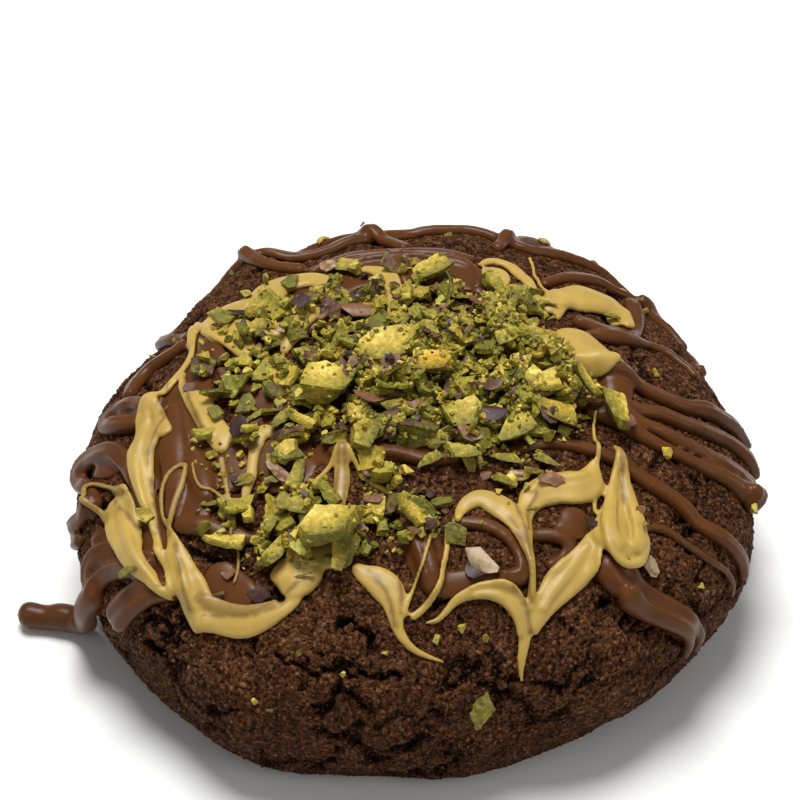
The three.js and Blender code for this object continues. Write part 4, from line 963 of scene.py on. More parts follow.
def dough_material(colours):
    """Baked cocoa dough: dry open crumb, so no shine, with pale grain tops and dark pits.

    Its colour holds painted shade, darkest in pits and cracks and darker below the waist, and a
    painted highlight on the grain tops, which are also a paler dry crumb.
    """
    material, tree, place = new_material("baked_cocoa_dough")
    relief_shade = add(tree, "ShaderNodeAttribute", {"attribute_name": "relief_shade"}).outputs["Fac"]
    crumb = add(tree, "ShaderNodeTexNoise", Vector=place, Scale=per_mm(0.55), Detail=3.0,
                Roughness=0.75)
    grains = add(tree, "ShaderNodeTexVoronoi", Vector=place, Scale=per_mm(0.6))
    patches = add(tree, "ShaderNodeTexNoise", Vector=place, Scale=per_mm(9), Detail=3.0)
    # Fine crumb and the rounding of each grain, both swinging either side of the relief.
    height = add(tree, "ShaderNodeMath", TIMES_PLUS, i0=crumb, i1=3.2, i2=relief_shade)
    height = add(tree, "ShaderNodeMath", TIMES_PLUS, i0=grains, i1=-0.5, i2=height)
    height = add(tree, "ShaderNodeMath", PLUS, i0=height, i1=-3.2 * 0.5 + 0.5 * 0.4)
    # Painted shade in pits and cracks, painted highlight on grain tops (partly paler dry crumb).
    tone = add(tree, "ShaderNodeValToRGB", Fac=height, stops=(
        (0.06, linear(colours.pits)), (0.38, linear(colours.crust)),
        (0.62, linear(colours.crust)), (0.95, linear(colours.grain_tops))))
    # Each grain is a little redder or greyer than its neighbours.
    grain_hue = add(tree, "ShaderNodeSeparateColor", Color=grains.outputs["Color"])
    hue = add(tree, "ShaderNodeValToRGB", Fac=grain_hue, stops=(
        (0.0, (0.5, 0.48, 0.47, 1)), (0.45, grey(0.95)), (0.8, (1.25, 1.18, 1.1, 1)),
        (1.0, (1.85, 1.88, 1.92, 1))))
    shade = add(tree, "ShaderNodeValToRGB", Fac=patches, stops=(
        (0.32, (0.8, 0.78, 0.76, 1)), (0.66, (1.1, 1.09, 1.06, 1))))
    # Painted shade: the side below the waist is painted darker towards the table.
    upright = add(tree, "ShaderNodeSeparateXYZ", Vector=place).outputs["Z"]
    low = add(tree, "ShaderNodeMath", TIMES, i0=upright, i1=per_mm(24))
    baked = add(tree, "ShaderNodeValToRGB", Fac=low, stops=(
        (0.1, (0.6, 0.56, 0.52, 1)), (0.8, grey(1.0))))
    for factor in (hue, shade, baked):
        tone = add(tree, "ShaderNodeMix", TINT, i0=1.0, i6=tone, i7=factor).outputs[2]
    bumps = add(tree, "ShaderNodeMath", TIMES_PLUS, i0=grains, i1=-0.7, i2=crumb)
    bump = add(tree, "ShaderNodeBump", Strength=1.0, Distance=0.5 * MM, Height=bumps)
    shader = add(tree, "ShaderNodeBsdfPrincipled", Base_Color=tone, Roughness=0.8, IOR=1.4,
                 Normal=bump)
    finish_material(tree, shader, Specular_IOR_Level=0.12)
    return material


def grain_material(colours):
    """Loose crumbs of the same dough: each a shade of its own, as dry as the crust."""
    material, tree, _ = new_material("loose_cocoa_crumbs")
    tint = add(tree, "ShaderNodeAttribute", {"attribute_name": "tint"}).outputs["Fac"]
    tone = add(tree, "ShaderNodeValToRGB", Fac=tint, stops=(
        (0.0, linear(colours.pits)), (0.55, linear(colours.crust)),
        (1.0, linear(colours.grain_tops))))
    shader = add(tree, "ShaderNodeBsdfPrincipled", Base_Color=tone, Roughness=0.85, IOR=1.4)
    finish_material(tree, shader, Specular_IOR_Level=0.12)
    return material


def chocolate_material(colours):
    """Milk chocolate poured warm and set: satin, with soft broad highlights."""
    material, tree, place = new_material("set_milk_chocolate")
    base = linear(colours.chocolate)
    cloud = add(tree, "ShaderNodeTexNoise", Vector=place, Scale=per_mm(6), Detail=2.0)
    tone = add(tree, "ShaderNodeValToRGB", Fac=cloud, stops=(
        (0.3, scaled(base, 0.86)), (0.7, scaled(base, 1.14))))
    ripple = add(tree, "ShaderNodeTexNoise", Vector=place, Scale=per_mm(1.6), Detail=1.5)
    bump = add(tree, "ShaderNodeBump", Strength=0.25, Distance=0.1 * MM, Height=ripple)
    shader = add(tree, "ShaderNodeBsdfPrincipled", Base_Color=tone, Roughness=0.34, IOR=1.42,
                 Normal=bump)
    finish_material(tree, shader, Specular_IOR_Level=0.27)
    return material


def cream_material(colours):
    """Pistachio cream: an oily nut spread, softly glossy, browner where it thins over chocolate."""
    material, tree, place = new_material("piped_pistachio_cream")
    base = linear(colours.cream)
    cloud = add(tree, "ShaderNodeTexNoise", Vector=place, Scale=per_mm(5), Detail=2.0)
    tone = add(tree, "ShaderNodeValToRGB", Fac=cloud, stops=(
        (0.3, scaled(base, 0.9)), (0.7, scaled(base, 1.08))))
    cocoa = add(tree, "ShaderNodeAttribute", {"attribute_name": "cocoa"}).outputs["Fac"]
    tone = add(tree, "ShaderNodeMix", MIX, i0=cocoa, i6=tone,
               i7=linear(colours.cream_shade)).outputs[2]
    ripple = add(tree, "ShaderNodeTexNoise", Vector=place, Scale=per_mm(1.4), Detail=2.0)
    bump = add(tree, "ShaderNodeBump", Strength=0.25, Distance=0.08 * MM, Height=ripple)
    shader = add(tree, "ShaderNodeBsdfPrincipled", Base_Color=tone, Roughness=0.45, IOR=1.46,
                 Normal=bump)
    finish_material(tree, shader, Subsurface_Weight=0.12, Subsurface_Radius=(1.0, 0.7, 0.35),
                    Subsurface_Scale=0.8 * MM)
    return material


def nut_material(colours):
    """Chopped pistachio kernel: waxy yellow flesh that turns green outwards, under a thin skin."""
    material, tree, place = new_material("chopped_pistachio_kernel")
    kernel = add(tree, "ShaderNodeAttribute", {"attribute_name": "kernel"}).outputs["Vector"]
    deep = add(tree, "ShaderNodeVectorMath", {"operation": "LENGTH"}, i0=kernel).outputs["Value"]
    mottle = add(tree, "ShaderNodeTexNoise", Vector=place, Scale=per_mm(1.7), Detail=3.0,
                 Roughness=0.65)
    deep = add(tree, "ShaderNodeMath", TIMES_PLUS, i0=mottle, i1=0.55, i2=deep)
    deep = add(tree, "ShaderNodeMath", PLUS, i0=deep, i1=-0.55 * 0.5)
    tint = add(tree, "ShaderNodeAttribute", {"attribute_name": "tint"}).outputs["Fac"]
    flesh = add(tree, "ShaderNodeValToRGB", Fac=deep, stops=(
        (0.1, linear(colours.heart)), (0.55, linear(colours.flesh)), (0.95, linear(colours.rim))))
    green = add(tree, "ShaderNodeValToRGB", Fac=tint, stops=(
        (0.0, (1.3, 0.95, 0.5, 1)), (0.18, (1.2, 1.08, 0.88, 1)), (0.55, (1.06, 1.02, 0.84, 1)),
        (1.0, (0.68, 0.78, 0.62, 1))))
    # Pale specks on the flesh, partly knife dust and partly painted highlight, with darker specks
    # between them.
    dust_and_highlight_noise = add(tree, "ShaderNodeTexNoise", Vector=place, Scale=per_mm(0.75), Detail=2.0,
               Roughness=0.7)
    dust_and_highlight_tone = add(tree, "ShaderNodeValToRGB", Fac=dust_and_highlight_noise, stops=(
        (0.3, (0.76, 0.77, 0.68, 1)), (0.5, (1.05, 1.05, 1.03, 1)), (0.66, (1.46, 1.43, 1.6, 1))))
    for factor in (green, dust_and_highlight_tone):
        flesh = add(tree, "ShaderNodeMix", TINT, i0=1.0, i6=flesh, i7=factor).outputs[2]
    skin_noise = add(tree, "ShaderNodeTexNoise", Vector=place, Scale=per_mm(2.2), Detail=3.0)
    skin_tone = add(tree, "ShaderNodeValToRGB", Fac=skin_noise, stops=(
        (0.4, linear(colours.skin)), (0.6, linear(colours.skin_purple))))
    skin_share = add(tree, "ShaderNodeAttribute", {"attribute_name": "skin"}).outputs["Fac"]
    outside = add(tree, "ShaderNodeValToRGB", Fac=deep, stops=((0.9, grey(0)), (0.97, grey(1))))
    covered = add(tree, "ShaderNodeMath", TIMES, i0=outside, i1=skin_share)
    tone = add(tree, "ShaderNodeMix", MIX, i0=covered, i6=flesh, i7=skin_tone).outputs[2]
    rough = add(tree, "ShaderNodeTexNoise", Vector=place, Scale=per_mm(0.6), Detail=3.0)
    bump = add(tree, "ShaderNodeBump", Strength=0.9, Distance=0.35 * MM, Height=rough)
    shader = add(tree, "ShaderNodeBsdfPrincipled", Base_Color=tone, Roughness=0.55, IOR=1.45,
                 Normal=bump)
    finish_material(tree, shader, Specular_IOR_Level=0.35, Subsurface_Weight=0.08,
                    Subsurface_Radius=(0.8, 0.7, 0.25), Subsurface_Scale=0.5 * MM)
    return material


def skin_material(colours):
    """Papery pistachio skin: thin, wrinkled, brown to dark purple, a little glossy."""
    material, tree, place = new_material("papery_pistachio_skin")
    purple = add(tree, "ShaderNodeAttribute", {"attribute_name": "tint"}).outputs["Fac"]
    vein = add(tree, "ShaderNodeTexNoise", Vector=place, Scale=per_mm(0.9), Detail=4.0)
    mixture = add(tree, "ShaderNodeMath", TIMES_PLUS, i0=vein, i1=0.9, i2=purple)
    mixture = add(tree, "ShaderNodeMath", PLUS, i0=mixture, i1=-0.9 * 0.5)
    tone = add(tree, "ShaderNodeValToRGB", Fac=mixture, stops=(
        (0.0, linear("#b09a78")), (0.2, linear("#84593a")), (0.5, linear(colours.skin)),
        (0.85, linear(colours.skin_purple))))
    bump = add(tree, "ShaderNodeBump", Strength=0.5, Distance=0.12 * MM, Height=vein)
    shader = add(tree, "ShaderNodeBsdfPrincipled", Base_Color=tone, Roughness=0.5, IOR=1.45,
                 Normal=bump)
    finish_material(tree, shader)
    return material


# ---- operators ----------------------------------------------------------------------------------

# Cuts across a side of the cube that becomes the dough's skin.
DOUGH_CUTS = 122
# The share of the way from the top pole at which the side ends and the flat base starts.
SIDE_SHARE = 0.86
# Height in mm of the crust's fine and broad unevenness.
FINE_LUMP = 0.17
BROAD_LUMP = 0.7
# How high above the form, in mm, the finished crust is looked for.
ABOVE_CRUST = 6.0
STRAND_SIDES = 16
TONGUE_SIDES = 14
FILM_THICKNESS = 0.6
ROPE_HIGHEST = 1.9
ROPE_SLIMMING = 0.86
# Soft ribbons sink into each other: one laid over another rises by this share of what it crosses.
STACKING = 0.75
# Size in mm of the voxels in which the strands of a material run together.
CHOCOLATE_VOXEL = 0.38
CREAM_VOXEL = 0.27
# Half length, half width and half height of a whole kernel, in mm.
KERNEL_RADII = np.array((8.0, 4.6, 4.3))
CHIP_PATTERNS = 70
CRUMB_PATTERNS = 40
# The camera looks at this height. In the photograph the cookie's middle is this many of its
# 800 pixels right of and below the picture's own middle.
COOKIE_MIDDLE = 0.0175
PICTURE_SIZE = 800
COOKIE_RIGHT = 15.3
COOKIE_BELOW = 61.5
# Disc lights: place and width in metres, and power in watts.
LIGHTS = {
    "overhead": ((-0.05, 0.14, 0.65), 0.34, 4.9),
    "front_left": ((-0.5, -0.42, 0.5), 0.5, 0.42),
    "front_right": ((0.55, -0.38, 0.44), 0.4, 0.95),
}
SURROUND_LIGHT = 0.21


def crumb_of(plain, grain):
    """The crust's grains and clumps, rougher in some areas than in others."""
    rounded = 0.5 - cells_at(plain, grain, 3)[:, 0]
    clumps = noise_at(plain, 2.6, 4)
    rough = 0.5 + 0.9 * np.clip(noise_at(plain, 9, 5) + 0.35, 0, 1)
    return (rounded * 0.5 + clumps * 0.15) * rough


def pits_of(plain):
    """Scattered pits in the crust, in areas of their own."""
    sparse = smooth_step(-0.05, 0.3, noise_at(plain, 7, 13))
    return smooth_step(0.24, 0.1, cells_at(plain, 2.8, 6)[:, 0]) * 0.26 * sparse


def cracks_of(plain, x, y, away):
    """The crust's cracks: those at known places, then wide and fine ones between its plates."""
    wander_x, wander_y = noise_at(plain, 1.8, 7) * 1.7, noise_at(plain, 1.8, 8) * 1.7
    wide = 1 + 1.1 * noise_at(plain, 1.7, 9)
    crack = np.zeros(len(x))
    for route, depth, half in CRACKS:
        near = distance_to_route(x + wander_x, y + wander_y, route)
        crack = np.maximum(crack, depth * smooth_step(1, 0.3, near / (half * wide.clip(0.35))))
    wander = noise_at(plain, 1.6, 11)
    plates = cells_at(plain, 8, 10)
    seam = plates[:, 1] - plates[:, 0] + 0.16 * wander
    open_here = smooth_step(-0.12, 0.25, noise_at(plain, 10, 12))
    lower = smooth_step(30, 46, away)
    crack = np.maximum(crack, 1.2 * open_here * (0.3 + 0.7 * lower)
                       * smooth_step(0.1, 0.02, seam))
    plates = cells_at(plain, 3.6, 14)
    seam = plates[:, 1] - plates[:, 0] + 0.2 * wander
    open_here = smooth_step(0.05, 0.3, noise_at(plain, 6, 15))
    return np.maximum(crack, 0.25 * open_here * smooth_step(0.12, 0.04, seam))


class COOKIE_OT_bake_dough(bpy.types.Operator):
    """Bake the dough: a domed cookie with a cracked, grainy crust and a flat base"""

    bl_idname = "cookie.bake_dough"
    bl_label = "Bake the Dough"

    def execute(self, context):
        sizes = context.scene.cookie_dough
        form = bench["form"] = Form(sizes)
        bm = bmesh.new()
        bmesh.ops.create_cube(bm, size=2)
        bmesh.ops.subdivide_edges(bm, edges=bm.edges[:], cuts=DOUGH_CUTS, use_grid_fill=True)
        cube, faces = arrays_of(bm)
        ball = unit(np.tan(cube * math.pi / 4))
        share = np.arccos(np.clip(ball[:, 2], -1, 1)) / math.pi
        bearing = np.arctan2(ball[:, 1], ball[:, 0])
        side = share / SIDE_SHARE * form.foot
        base = form.foot + (share - SIDE_SHARE) / (1 - SIDE_SHARE) * (form.full - form.foot)
        away = np.where(share < SIDE_SHARE, side, base)
        x, y = away * np.cos(bearing), away * np.sin(bearing)
        plain = form.plain(x, y)
        fade = smooth_step(0, 5, form.foot - away)

        broad = noise_at(plain, 14, 1) * BROAD_LUMP * 2 + noise_at(plain, 5, 2) * FINE_LUMP * 2
        crumb, pit = crumb_of(plain, sizes.grain / MM), pits_of(plain)
        crack = cracks_of(plain, x, y, away)
        height = form.mounds(x, y) + broad + crumb - pit - crack
        points = plain + form.outward(x, y) * (height * fade)[:, None]
        points[:, 2] = np.maximum(points[:, 2], 0)
        points[away >= form.foot, 2] = 0
        # Painted shade and highlight: pits and cracks darken the colour, grain tops pale it.
        relief_shade = np.clip(0.52 + crumb * 1.2 - pit * 0.7 - crack * 0.8, 0, 1)
        mesh = mesh_from("cookie_crust", points, faces, {"relief_shade": relief_shade})
        crust = shown("cookie_crust", mesh, dough_material(sizes))
        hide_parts("cookie_dough")
        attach(crust, "root")
        self.start_map(form, mesh)
        return {"FINISHED"}

    def start_map(self, form, mesh):
        """Reads the lift of the finished crust over the plain form on to the map."""
        lifts = bench["lifts"] = LiftMap()
        tree = tree_of(mesh)
        near = np.hypot(lifts.x, lifts.y) < form.foot - 0.5
        x, y = lifts.x[near], lifts.y[near]
        start = form.at(x, y, np.full(x.shape, ABOVE_CRUST))
        inward = -form.outward(x, y)
        found = []
        for origin, direction in zip(start.tolist(), inward.tolist()):
            away = tree.ray_cast(origin, direction, 2 * ABOVE_CRUST)[3]
            found.append(0.0 if away is None else ABOVE_CRUST - away)
        lifts.lift[near] = found
        bench["crust_lift"] = lifts.lift.copy()


class COOKIE_OT_pour_chocolate(bpy.types.Operator):
    """Pour the milk chocolate: films, ropes and loops, and the tongue that ran out on the table"""

    bl_idname = "cookie.pour_chocolate"
    bl_label = "Pour the Chocolate"

    def execute(self, context):
        form, lifts = on_bench("form"), on_bench("lifts")
        colours = context.scene.cookie_drizzle
        poured = Gathered()

        def film_rise(width):
            return np.full_like(width, FILM_THICKNESS)

        def band_rise(width):
            return 0.45 + 0.12 * width

        def rope_rise(width):
            return np.minimum(colours.rope_height * width, ROPE_HIGHEST)

        def rope_profile(across):
            return 1 - 0.36 * np.exp(-((across + 0.12) / 0.26) ** 2)

        def flat_profile(across):
            return np.ones_like(across)

        for route in CHOCOLATE_FILMS.values():
            lay_strand(poured, form, lifts, route, 0.8, 1.0, film_rise, flat_profile)
        for route in CHOCOLATE_BANDS.values():
            lay_strand(poured, form, lifts, route, 0.7, 0.8, band_rise, flat_profile)
        for route in CHOCOLATE_ROPES.values():
            slim = [(x, y, width * ROPE_SLIMMING) for x, y, width in route]
            lay_strand(poured, form, lifts, slim, 0.5, 0.8, rope_rise, rope_profile, 0.5)
        self.lay_tongue(poured)
        mesh = fused("milk_chocolate", poured.mesh("milk_chocolate"), CHOCOLATE_VOXEL, 1)
        piece = shown("milk_chocolate", mesh, chocolate_material(colours))
        names = sorted(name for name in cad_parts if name.startswith("chocolate_"))
        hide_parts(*names)
        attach(piece, "root")
        bench["chocolate"] = mesh
        return {"FINISHED"}

    def lay_tongue(self, poured):
        rows = sampled(CHOCOLATE_TONGUE, 0.6)
        centre, half = rows[:, :3], rows[:, 3] / 2
        along = unit(np.gradient(centre, axis=0))
        side = unit(np.cross(along, np.array([0.0, 1.0, 0.0])))
        up = unit(np.cross(side, along))
        run = np.r_[0, np.cumsum(np.linalg.norm(np.diff(centre, axis=0), axis=1))]
        closing = round_end(run, half)
        row, across, over, faces = rings(TONGUE_SIDES, len(rows))
        reach = (half * closing)[row][:, None]
        points = centre[row] + reach * (
            across[:, None] * side[row] + over[:, None] * up[row])
        points[:, 2] = np.maximum(points[:, 2], 0.05)
        poured.add(points, faces)


class COOKIE_OT_pipe_cream(bpy.types.Operator):
    """Pipe the pistachio cream over the chocolate and draw it out into feathers"""

    bl_idname = "cookie.pipe_cream"
    bl_label = "Pipe the Cream"

    def execute(self, context):
        form, lifts = on_bench("form"), on_bench("lifts")
        colours = context.scene.cookie_drizzle
        piped = Gathered()

        def rise(width):
            return 0.42 + 0.15 * width

        def profile(across):
            return 0.93 + 0.07 * np.cos(9 * across + 0.8)

        lifts.bed = lifts.soft(0.55)
        for route in CREAM_RIBBONS.values():
            lay_strand(piped, form, lifts, route, 0.45, 0.55, rise, profile, 0.3, 0.75)
        lifts.bed = None
        mesh = fused("pistachio_cream", piped.mesh("pistachio_cream"), CREAM_VOXEL, 2)
        self.add_cocoa(form, lifts, mesh)
        piece = shown("pistachio_cream", mesh, cream_material(colours))
        names = sorted(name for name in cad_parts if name.startswith("pistachio_cream_"))
        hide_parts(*names)
        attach(piece, "root")
        return {"FINISHED"}

    def add_cocoa(self, form, lifts, mesh):
        """How brown each place of the cream is: on the drawn streaks, and where it thins out."""
        points = points_of(mesh)

        def away_from(routes):
            rows = np.concatenate([sampled([(x, y, 0) for x, y, *_ in route], 0.3)
                                   for route in routes])
            x, y = rows[:, 0], rows[:, 1]
            along = form.at(x, y, lifts.read(x, y)).tolist()
            near = KDTree(len(along))
            for i, point in enumerate(along):
                near.insert(point, i)
            near.balance()
            return np.array([near.find(point)[2] for point in points.tolist()])

        chocolate = tree_of(on_bench("chocolate"))
        waver = noise_at(points, 1.2, 20)
        streak = away_from(COCOA_STREAKS)
        veil = away_from([CREAM_RIBBONS[name] for name in THIN_RIBBONS])
        thin = []
        for point in points.tolist():
            away = chocolate.find_nearest(point, 1.2)[3]
            thin.append(1.2 if away is None else away)
        on_streak = 0.72 * np.exp(-((streak / (0.36 + 0.3 * waver).clip(0.12)) ** 2))
        on_edge = 0.8 * smooth_step(0.45, 0.05, np.array(thin) + 0.25 * waver)
        on_thin = 0.45 * smooth_step(1.3, 0.7, veil + 0.4 * waver)
        cocoa = np.maximum(np.maximum(on_streak, on_edge), on_thin)
        add_values(mesh, "cocoa", np.clip(cocoa, 0, 1))


def whole_kernel(subdivisions):
    """A whole kernel in mm about its own middle."""
    bm = bmesh.new()
    bmesh.ops.create_icosphere(bm, subdivisions=subdivisions, radius=1.0)
    bmesh.ops.scale(bm, vec=Vector(KERNEL_RADII), verts=bm.verts)
    return bm


def cut_away(bm, place, normal, filled=True):
    """Cuts off what lies beyond a plane, whose normal is of length 1, and fills the cut."""
    geometry = bm.verts[:] + bm.edges[:] + bm.faces[:]
    bmesh.ops.bisect_plane(
        bm, geom=geometry, plane_co=place, plane_no=normal, clear_outer=True, dist=1e-5)
    rim = [edge for edge in bm.edges if edge.is_boundary]
    if filled and rim:
        bmesh.ops.holes_fill(bm, edges=rim, sides=0)


def is_solid(bm):
    return len(bm.faces) > 3 and all(edge.is_manifold for edge in bm.edges)


def finished(bm, middle):
    """A piece's vertices about its own middle, its faces, and its places in the kernel.

    It is None where the piece isn't one closed solid.
    """
    bmesh.ops.recalc_face_normals(bm, faces=bm.faces)
    solid = is_solid(bm)
    vertices, faces = arrays_of(bm)
    return (vertices - np.array(middle), faces, vertices / KERNEL_RADII) if solid else None


def chop_piece(rng, long, wide, high, depth, detail=0, bevel=0.12, ragged=0.6):
    """One chopped piece in mm about its own middle, with each vertex's place in the kernel.

    depth is how far out in the kernel the piece's upper side lies, from 0 to 1.
    """
    bm = whole_kernel(3)
    room = KERNEL_RADII - np.array((long, wide, high)) * 0.42
    out = unit(np.array([rng.uniform(-0.7, 0.7), rng.uniform(-0.6, 0.6), 1.0]))
    middle = Vector(out * np.maximum(room, 0.2) * depth)
    size = Vector((long, wide, high))
    sides = [(1, 0, 0), (-1, 0, 0), (0, 1, 0), (0, -1, 0), (0, 0, 1), (0, 0, -1)]
    sides += [tuple(rng.uniform(-1, 1) for _ in range(3)) for _ in range(rng.randrange(1, 4))]
    for side in sides:
        normal = Vector([c + rng.uniform(-ragged, ragged) for c in side]).normalized()
        reach = math.sqrt(sum((n * span) ** 2 for n, span in zip(normal, size)))
        cut_away(bm, middle + normal * (reach * rng.uniform(0.36, 0.54)), normal)
    if not is_solid(bm) or max((v.co - middle).length for v in bm.verts) > 0.72 * long:
        bm.free()
        return None
    bmesh.ops.remove_doubles(bm, verts=bm.verts, dist=0.04)
    if bevel:
        corners = [edge for edge in bm.edges
                   if len(edge.link_faces) == 2 and edge.calc_face_angle(0) > 0.5]
        if corners:
            bmesh.ops.bevel(bm, geom=corners, offset=bevel, segments=1, profile=0.5,
                            affect="EDGES", material=-1, clamp_overlap=True)
    if detail:
        break_up(rng, bm, detail)
    return finished(bm, middle)


def chop_chunk(rng, long, wide, high, detail):
    """A coarse piece that keeps some of the kernel's rounded outside, with rough cuts elsewhere.

    Its rounded outside is up and its widest cut is down.
    """
    bm = whole_kernel(4)
    middle = Vector((rng.uniform(-2, 2), KERNEL_RADII[1] - wide / 2, KERNEL_RADII[2] - high / 2))

    def askew(amount):
        return rng.uniform(-amount, amount)

    cuts = [((long / 2, 0, 0), (1, askew(0.5), askew(0.5))),
            ((-long / 2, 0, 0), (-1, askew(0.5), askew(0.5))),
            ((0, -wide / 2, 0), (askew(0.35), -1, askew(0.5))),
            ((0, 0, -high / 2), (askew(0.2), askew(0.25), -1))]
    for _ in range(rng.randrange(1, 4)):
        corner = Vector((rng.choice((-1, 1)) * long, rng.choice((-1, 1)) * wide,
                         rng.choice((-1, 1)) * high)) / 2
        cuts.append((corner * rng.uniform(0.55, 0.8), corner + Vector((askew(1), askew(1), 0))))
    for place, normal in cuts:
        cut_away(bm, middle + Vector(place), Vector(normal).normalized())
    if not is_solid(bm):
        bm.free()
        return None
    bmesh.ops.remove_doubles(bm, verts=bm.verts, dist=0.06)
    break_up(rng, bm, detail)
    return finished(bm, middle)


def break_up(rng, bm, detail):
    """Roughens flat cuts: broken ledges and a fine grain, on edges down to this many mm long."""
    bmesh.ops.triangulate(bm, faces=bm.faces[:])
    for _ in range(3):
        longest = [edge for edge in bm.edges if edge.calc_length() > detail]
        if not longest:
            break
        bmesh.ops.subdivide_edges(bm, edges=longest, cuts=1)
        bmesh.ops.triangulate(bm, faces=bm.faces[:])
    bm.normal_update()
    seed = rng.uniform(0, 50)
    for vertex in bm.verts:
        ledge = abs(noise.noise(vertex.co / 1.2 + Vector((seed, 0, 0))))
        ripple = noise.noise(vertex.co / 0.6 + Vector((0, seed, 0)))
        vertex.co += vertex.normal * (0.08 - 0.4 * ledge + 0.14 * ripple)


def chop_shell(rng, long, wide, thick):
    """A thin curved piece from the outside of a kernel, given as chop_piece gives its own."""
    bm = whole_kernel(4)
    out = unit(np.array([rng.uniform(-0.7, 0.7), rng.uniform(-0.6, 0.6), 1.0]))
    middle = Vector(out * KERNEL_RADII)
    first = Vector(out).orthogonal().normalized()
    second = Vector(out).cross(first)
    cuts = [(middle * 0.4, -middle)]
    start = rng.uniform(0, 1)
    for k in range(5):
        angle = 2 * math.pi * (k + start + rng.uniform(-0.3, 0.3)) / 5
        side = first * math.cos(angle) * long / 2 + second * math.sin(angle) * wide / 2
        cuts.append((middle + side * rng.uniform(0.75, 1.1), side))
    for place, normal in cuts:
        cut_away(bm, place, normal.normalized(), filled=False)
    if len(bm.faces) < 3:
        bm.free()
        return None
    seed = rng.uniform(0, 50)
    for vertex in bm.verts:
        vertex.co += Vector(out) * 0.22 * noise.noise(vertex.co / 0.9 + Vector((seed, 0, 0)))
    bmesh.ops.solidify(bm, geom=bm.faces[:], thickness=thick)
    piece = finished(bm, middle)
    if piece is None:
        return None
    vertices, faces, kernel = piece
    reach = np.linalg.norm(kernel, axis=1, keepdims=True)
    return vertices, faces, kernel / reach * np.clip(1 - 3 * (1 - reach), 0.2, 1)


def turned(rng, turn, tilt, up_side_down=False):
    """A rotation: over if up side down, then tilted, then turned about the upright."""
    spin = Quaternion((0, 0, 1), turn)
    axis = (math.cos(rng.uniform(0, ANY_TURN)), math.sin(rng.uniform(0, ANY_TURN)), 0)
    lean = Quaternion(axis, tilt)
    flip = Quaternion((1, 0, 0), math.pi if up_side_down else 0)
    return np.array((spin @ lean @ flip).to_matrix())


def drop(into, form, lifts, x, y, shape, rotation, sunk, **values):
    """Drops a shape at a place of the map, on what lies there, and adds it to the map."""
    vertices, faces, kernel = shape
    moved = vertices @ rotation.T
    half = max(0.35, 0.5 * (np.ptp(moved[:, 0]) + np.ptp(moved[:, 1])) / 2)
    rows, columns = lifts.patch(x, y, half * 0.6)
    ground = lifts.lift[rows, columns]
    seat = 0.3 * ground.max() + 0.7 * ground.mean()
    low, high = moved[:, 2].min(), moved[:, 2].max()
    lift = seat - low - sunk * (high - low)
    up = form.outward(x, y)
    turn = np.array(Vector((0, 0, 1)).rotation_difference(Vector(up)).to_matrix())
    into.add(moved @ turn.T + form.plain(x, y) + up * lift, faces, kernel=kernel, **values)
    rise = (high - low) * 0.42
    lifts.raise_disc(x, y, half * 0.8, lift + high - rise - 0.2 * (high - low), rise)


def clear_map(lifts):
    """How far each place of the map is from what the nuts leave clear, as a share of its reach."""
    clear = np.full(lifts.x.shape, 9.0)
    for route, reach in CLEAR_ROUTES:
        clear = np.minimum(clear, distance_to_route(lifts.x, lifts.y, route) / reach)
    return clear


def fall_place(rng, lifts, spread=1.0, sparing=0.85):
    """A place where a falling nut lands, off what stays clear and mostly off coarse pieces."""
    while True:
        pick = rng.random() * sum(fall[5] for fall in NUT_FALLS)
        for fx, fy, reach_x, reach_y, turn, share in NUT_FALLS:
            pick -= share
            if pick <= 0:
                break
        away = math.sqrt(rng.random()) * FALL_EDGE * spread
        angle = rng.uniform(0, 2 * math.pi)
        dx, dy = reach_x * away * math.cos(angle), reach_y * away * math.sin(angle)
        c, s = math.cos(math.radians(turn)), math.sin(math.radians(turn))
        x, y = fx + dx * c - dy * s, fy + dx * s + dy * c
        if float(lifts.read(x, y, on_bench("clear"))) < rng.uniform(0.6, 1.3):
            continue
        if rng.random() < sparing and nearest_large(x, y) < 0.85:
            continue
        return x, y


def nearest_large(x, y):
    """Distance to the nearest coarse piece, where 1 is its rim."""
    return min(math.hypot(x - nut[0], y - nut[1]) / (0.25 * LARGE_SHARE * (nut[2] + nut[3]))
               for nut in LARGE_NUTS)


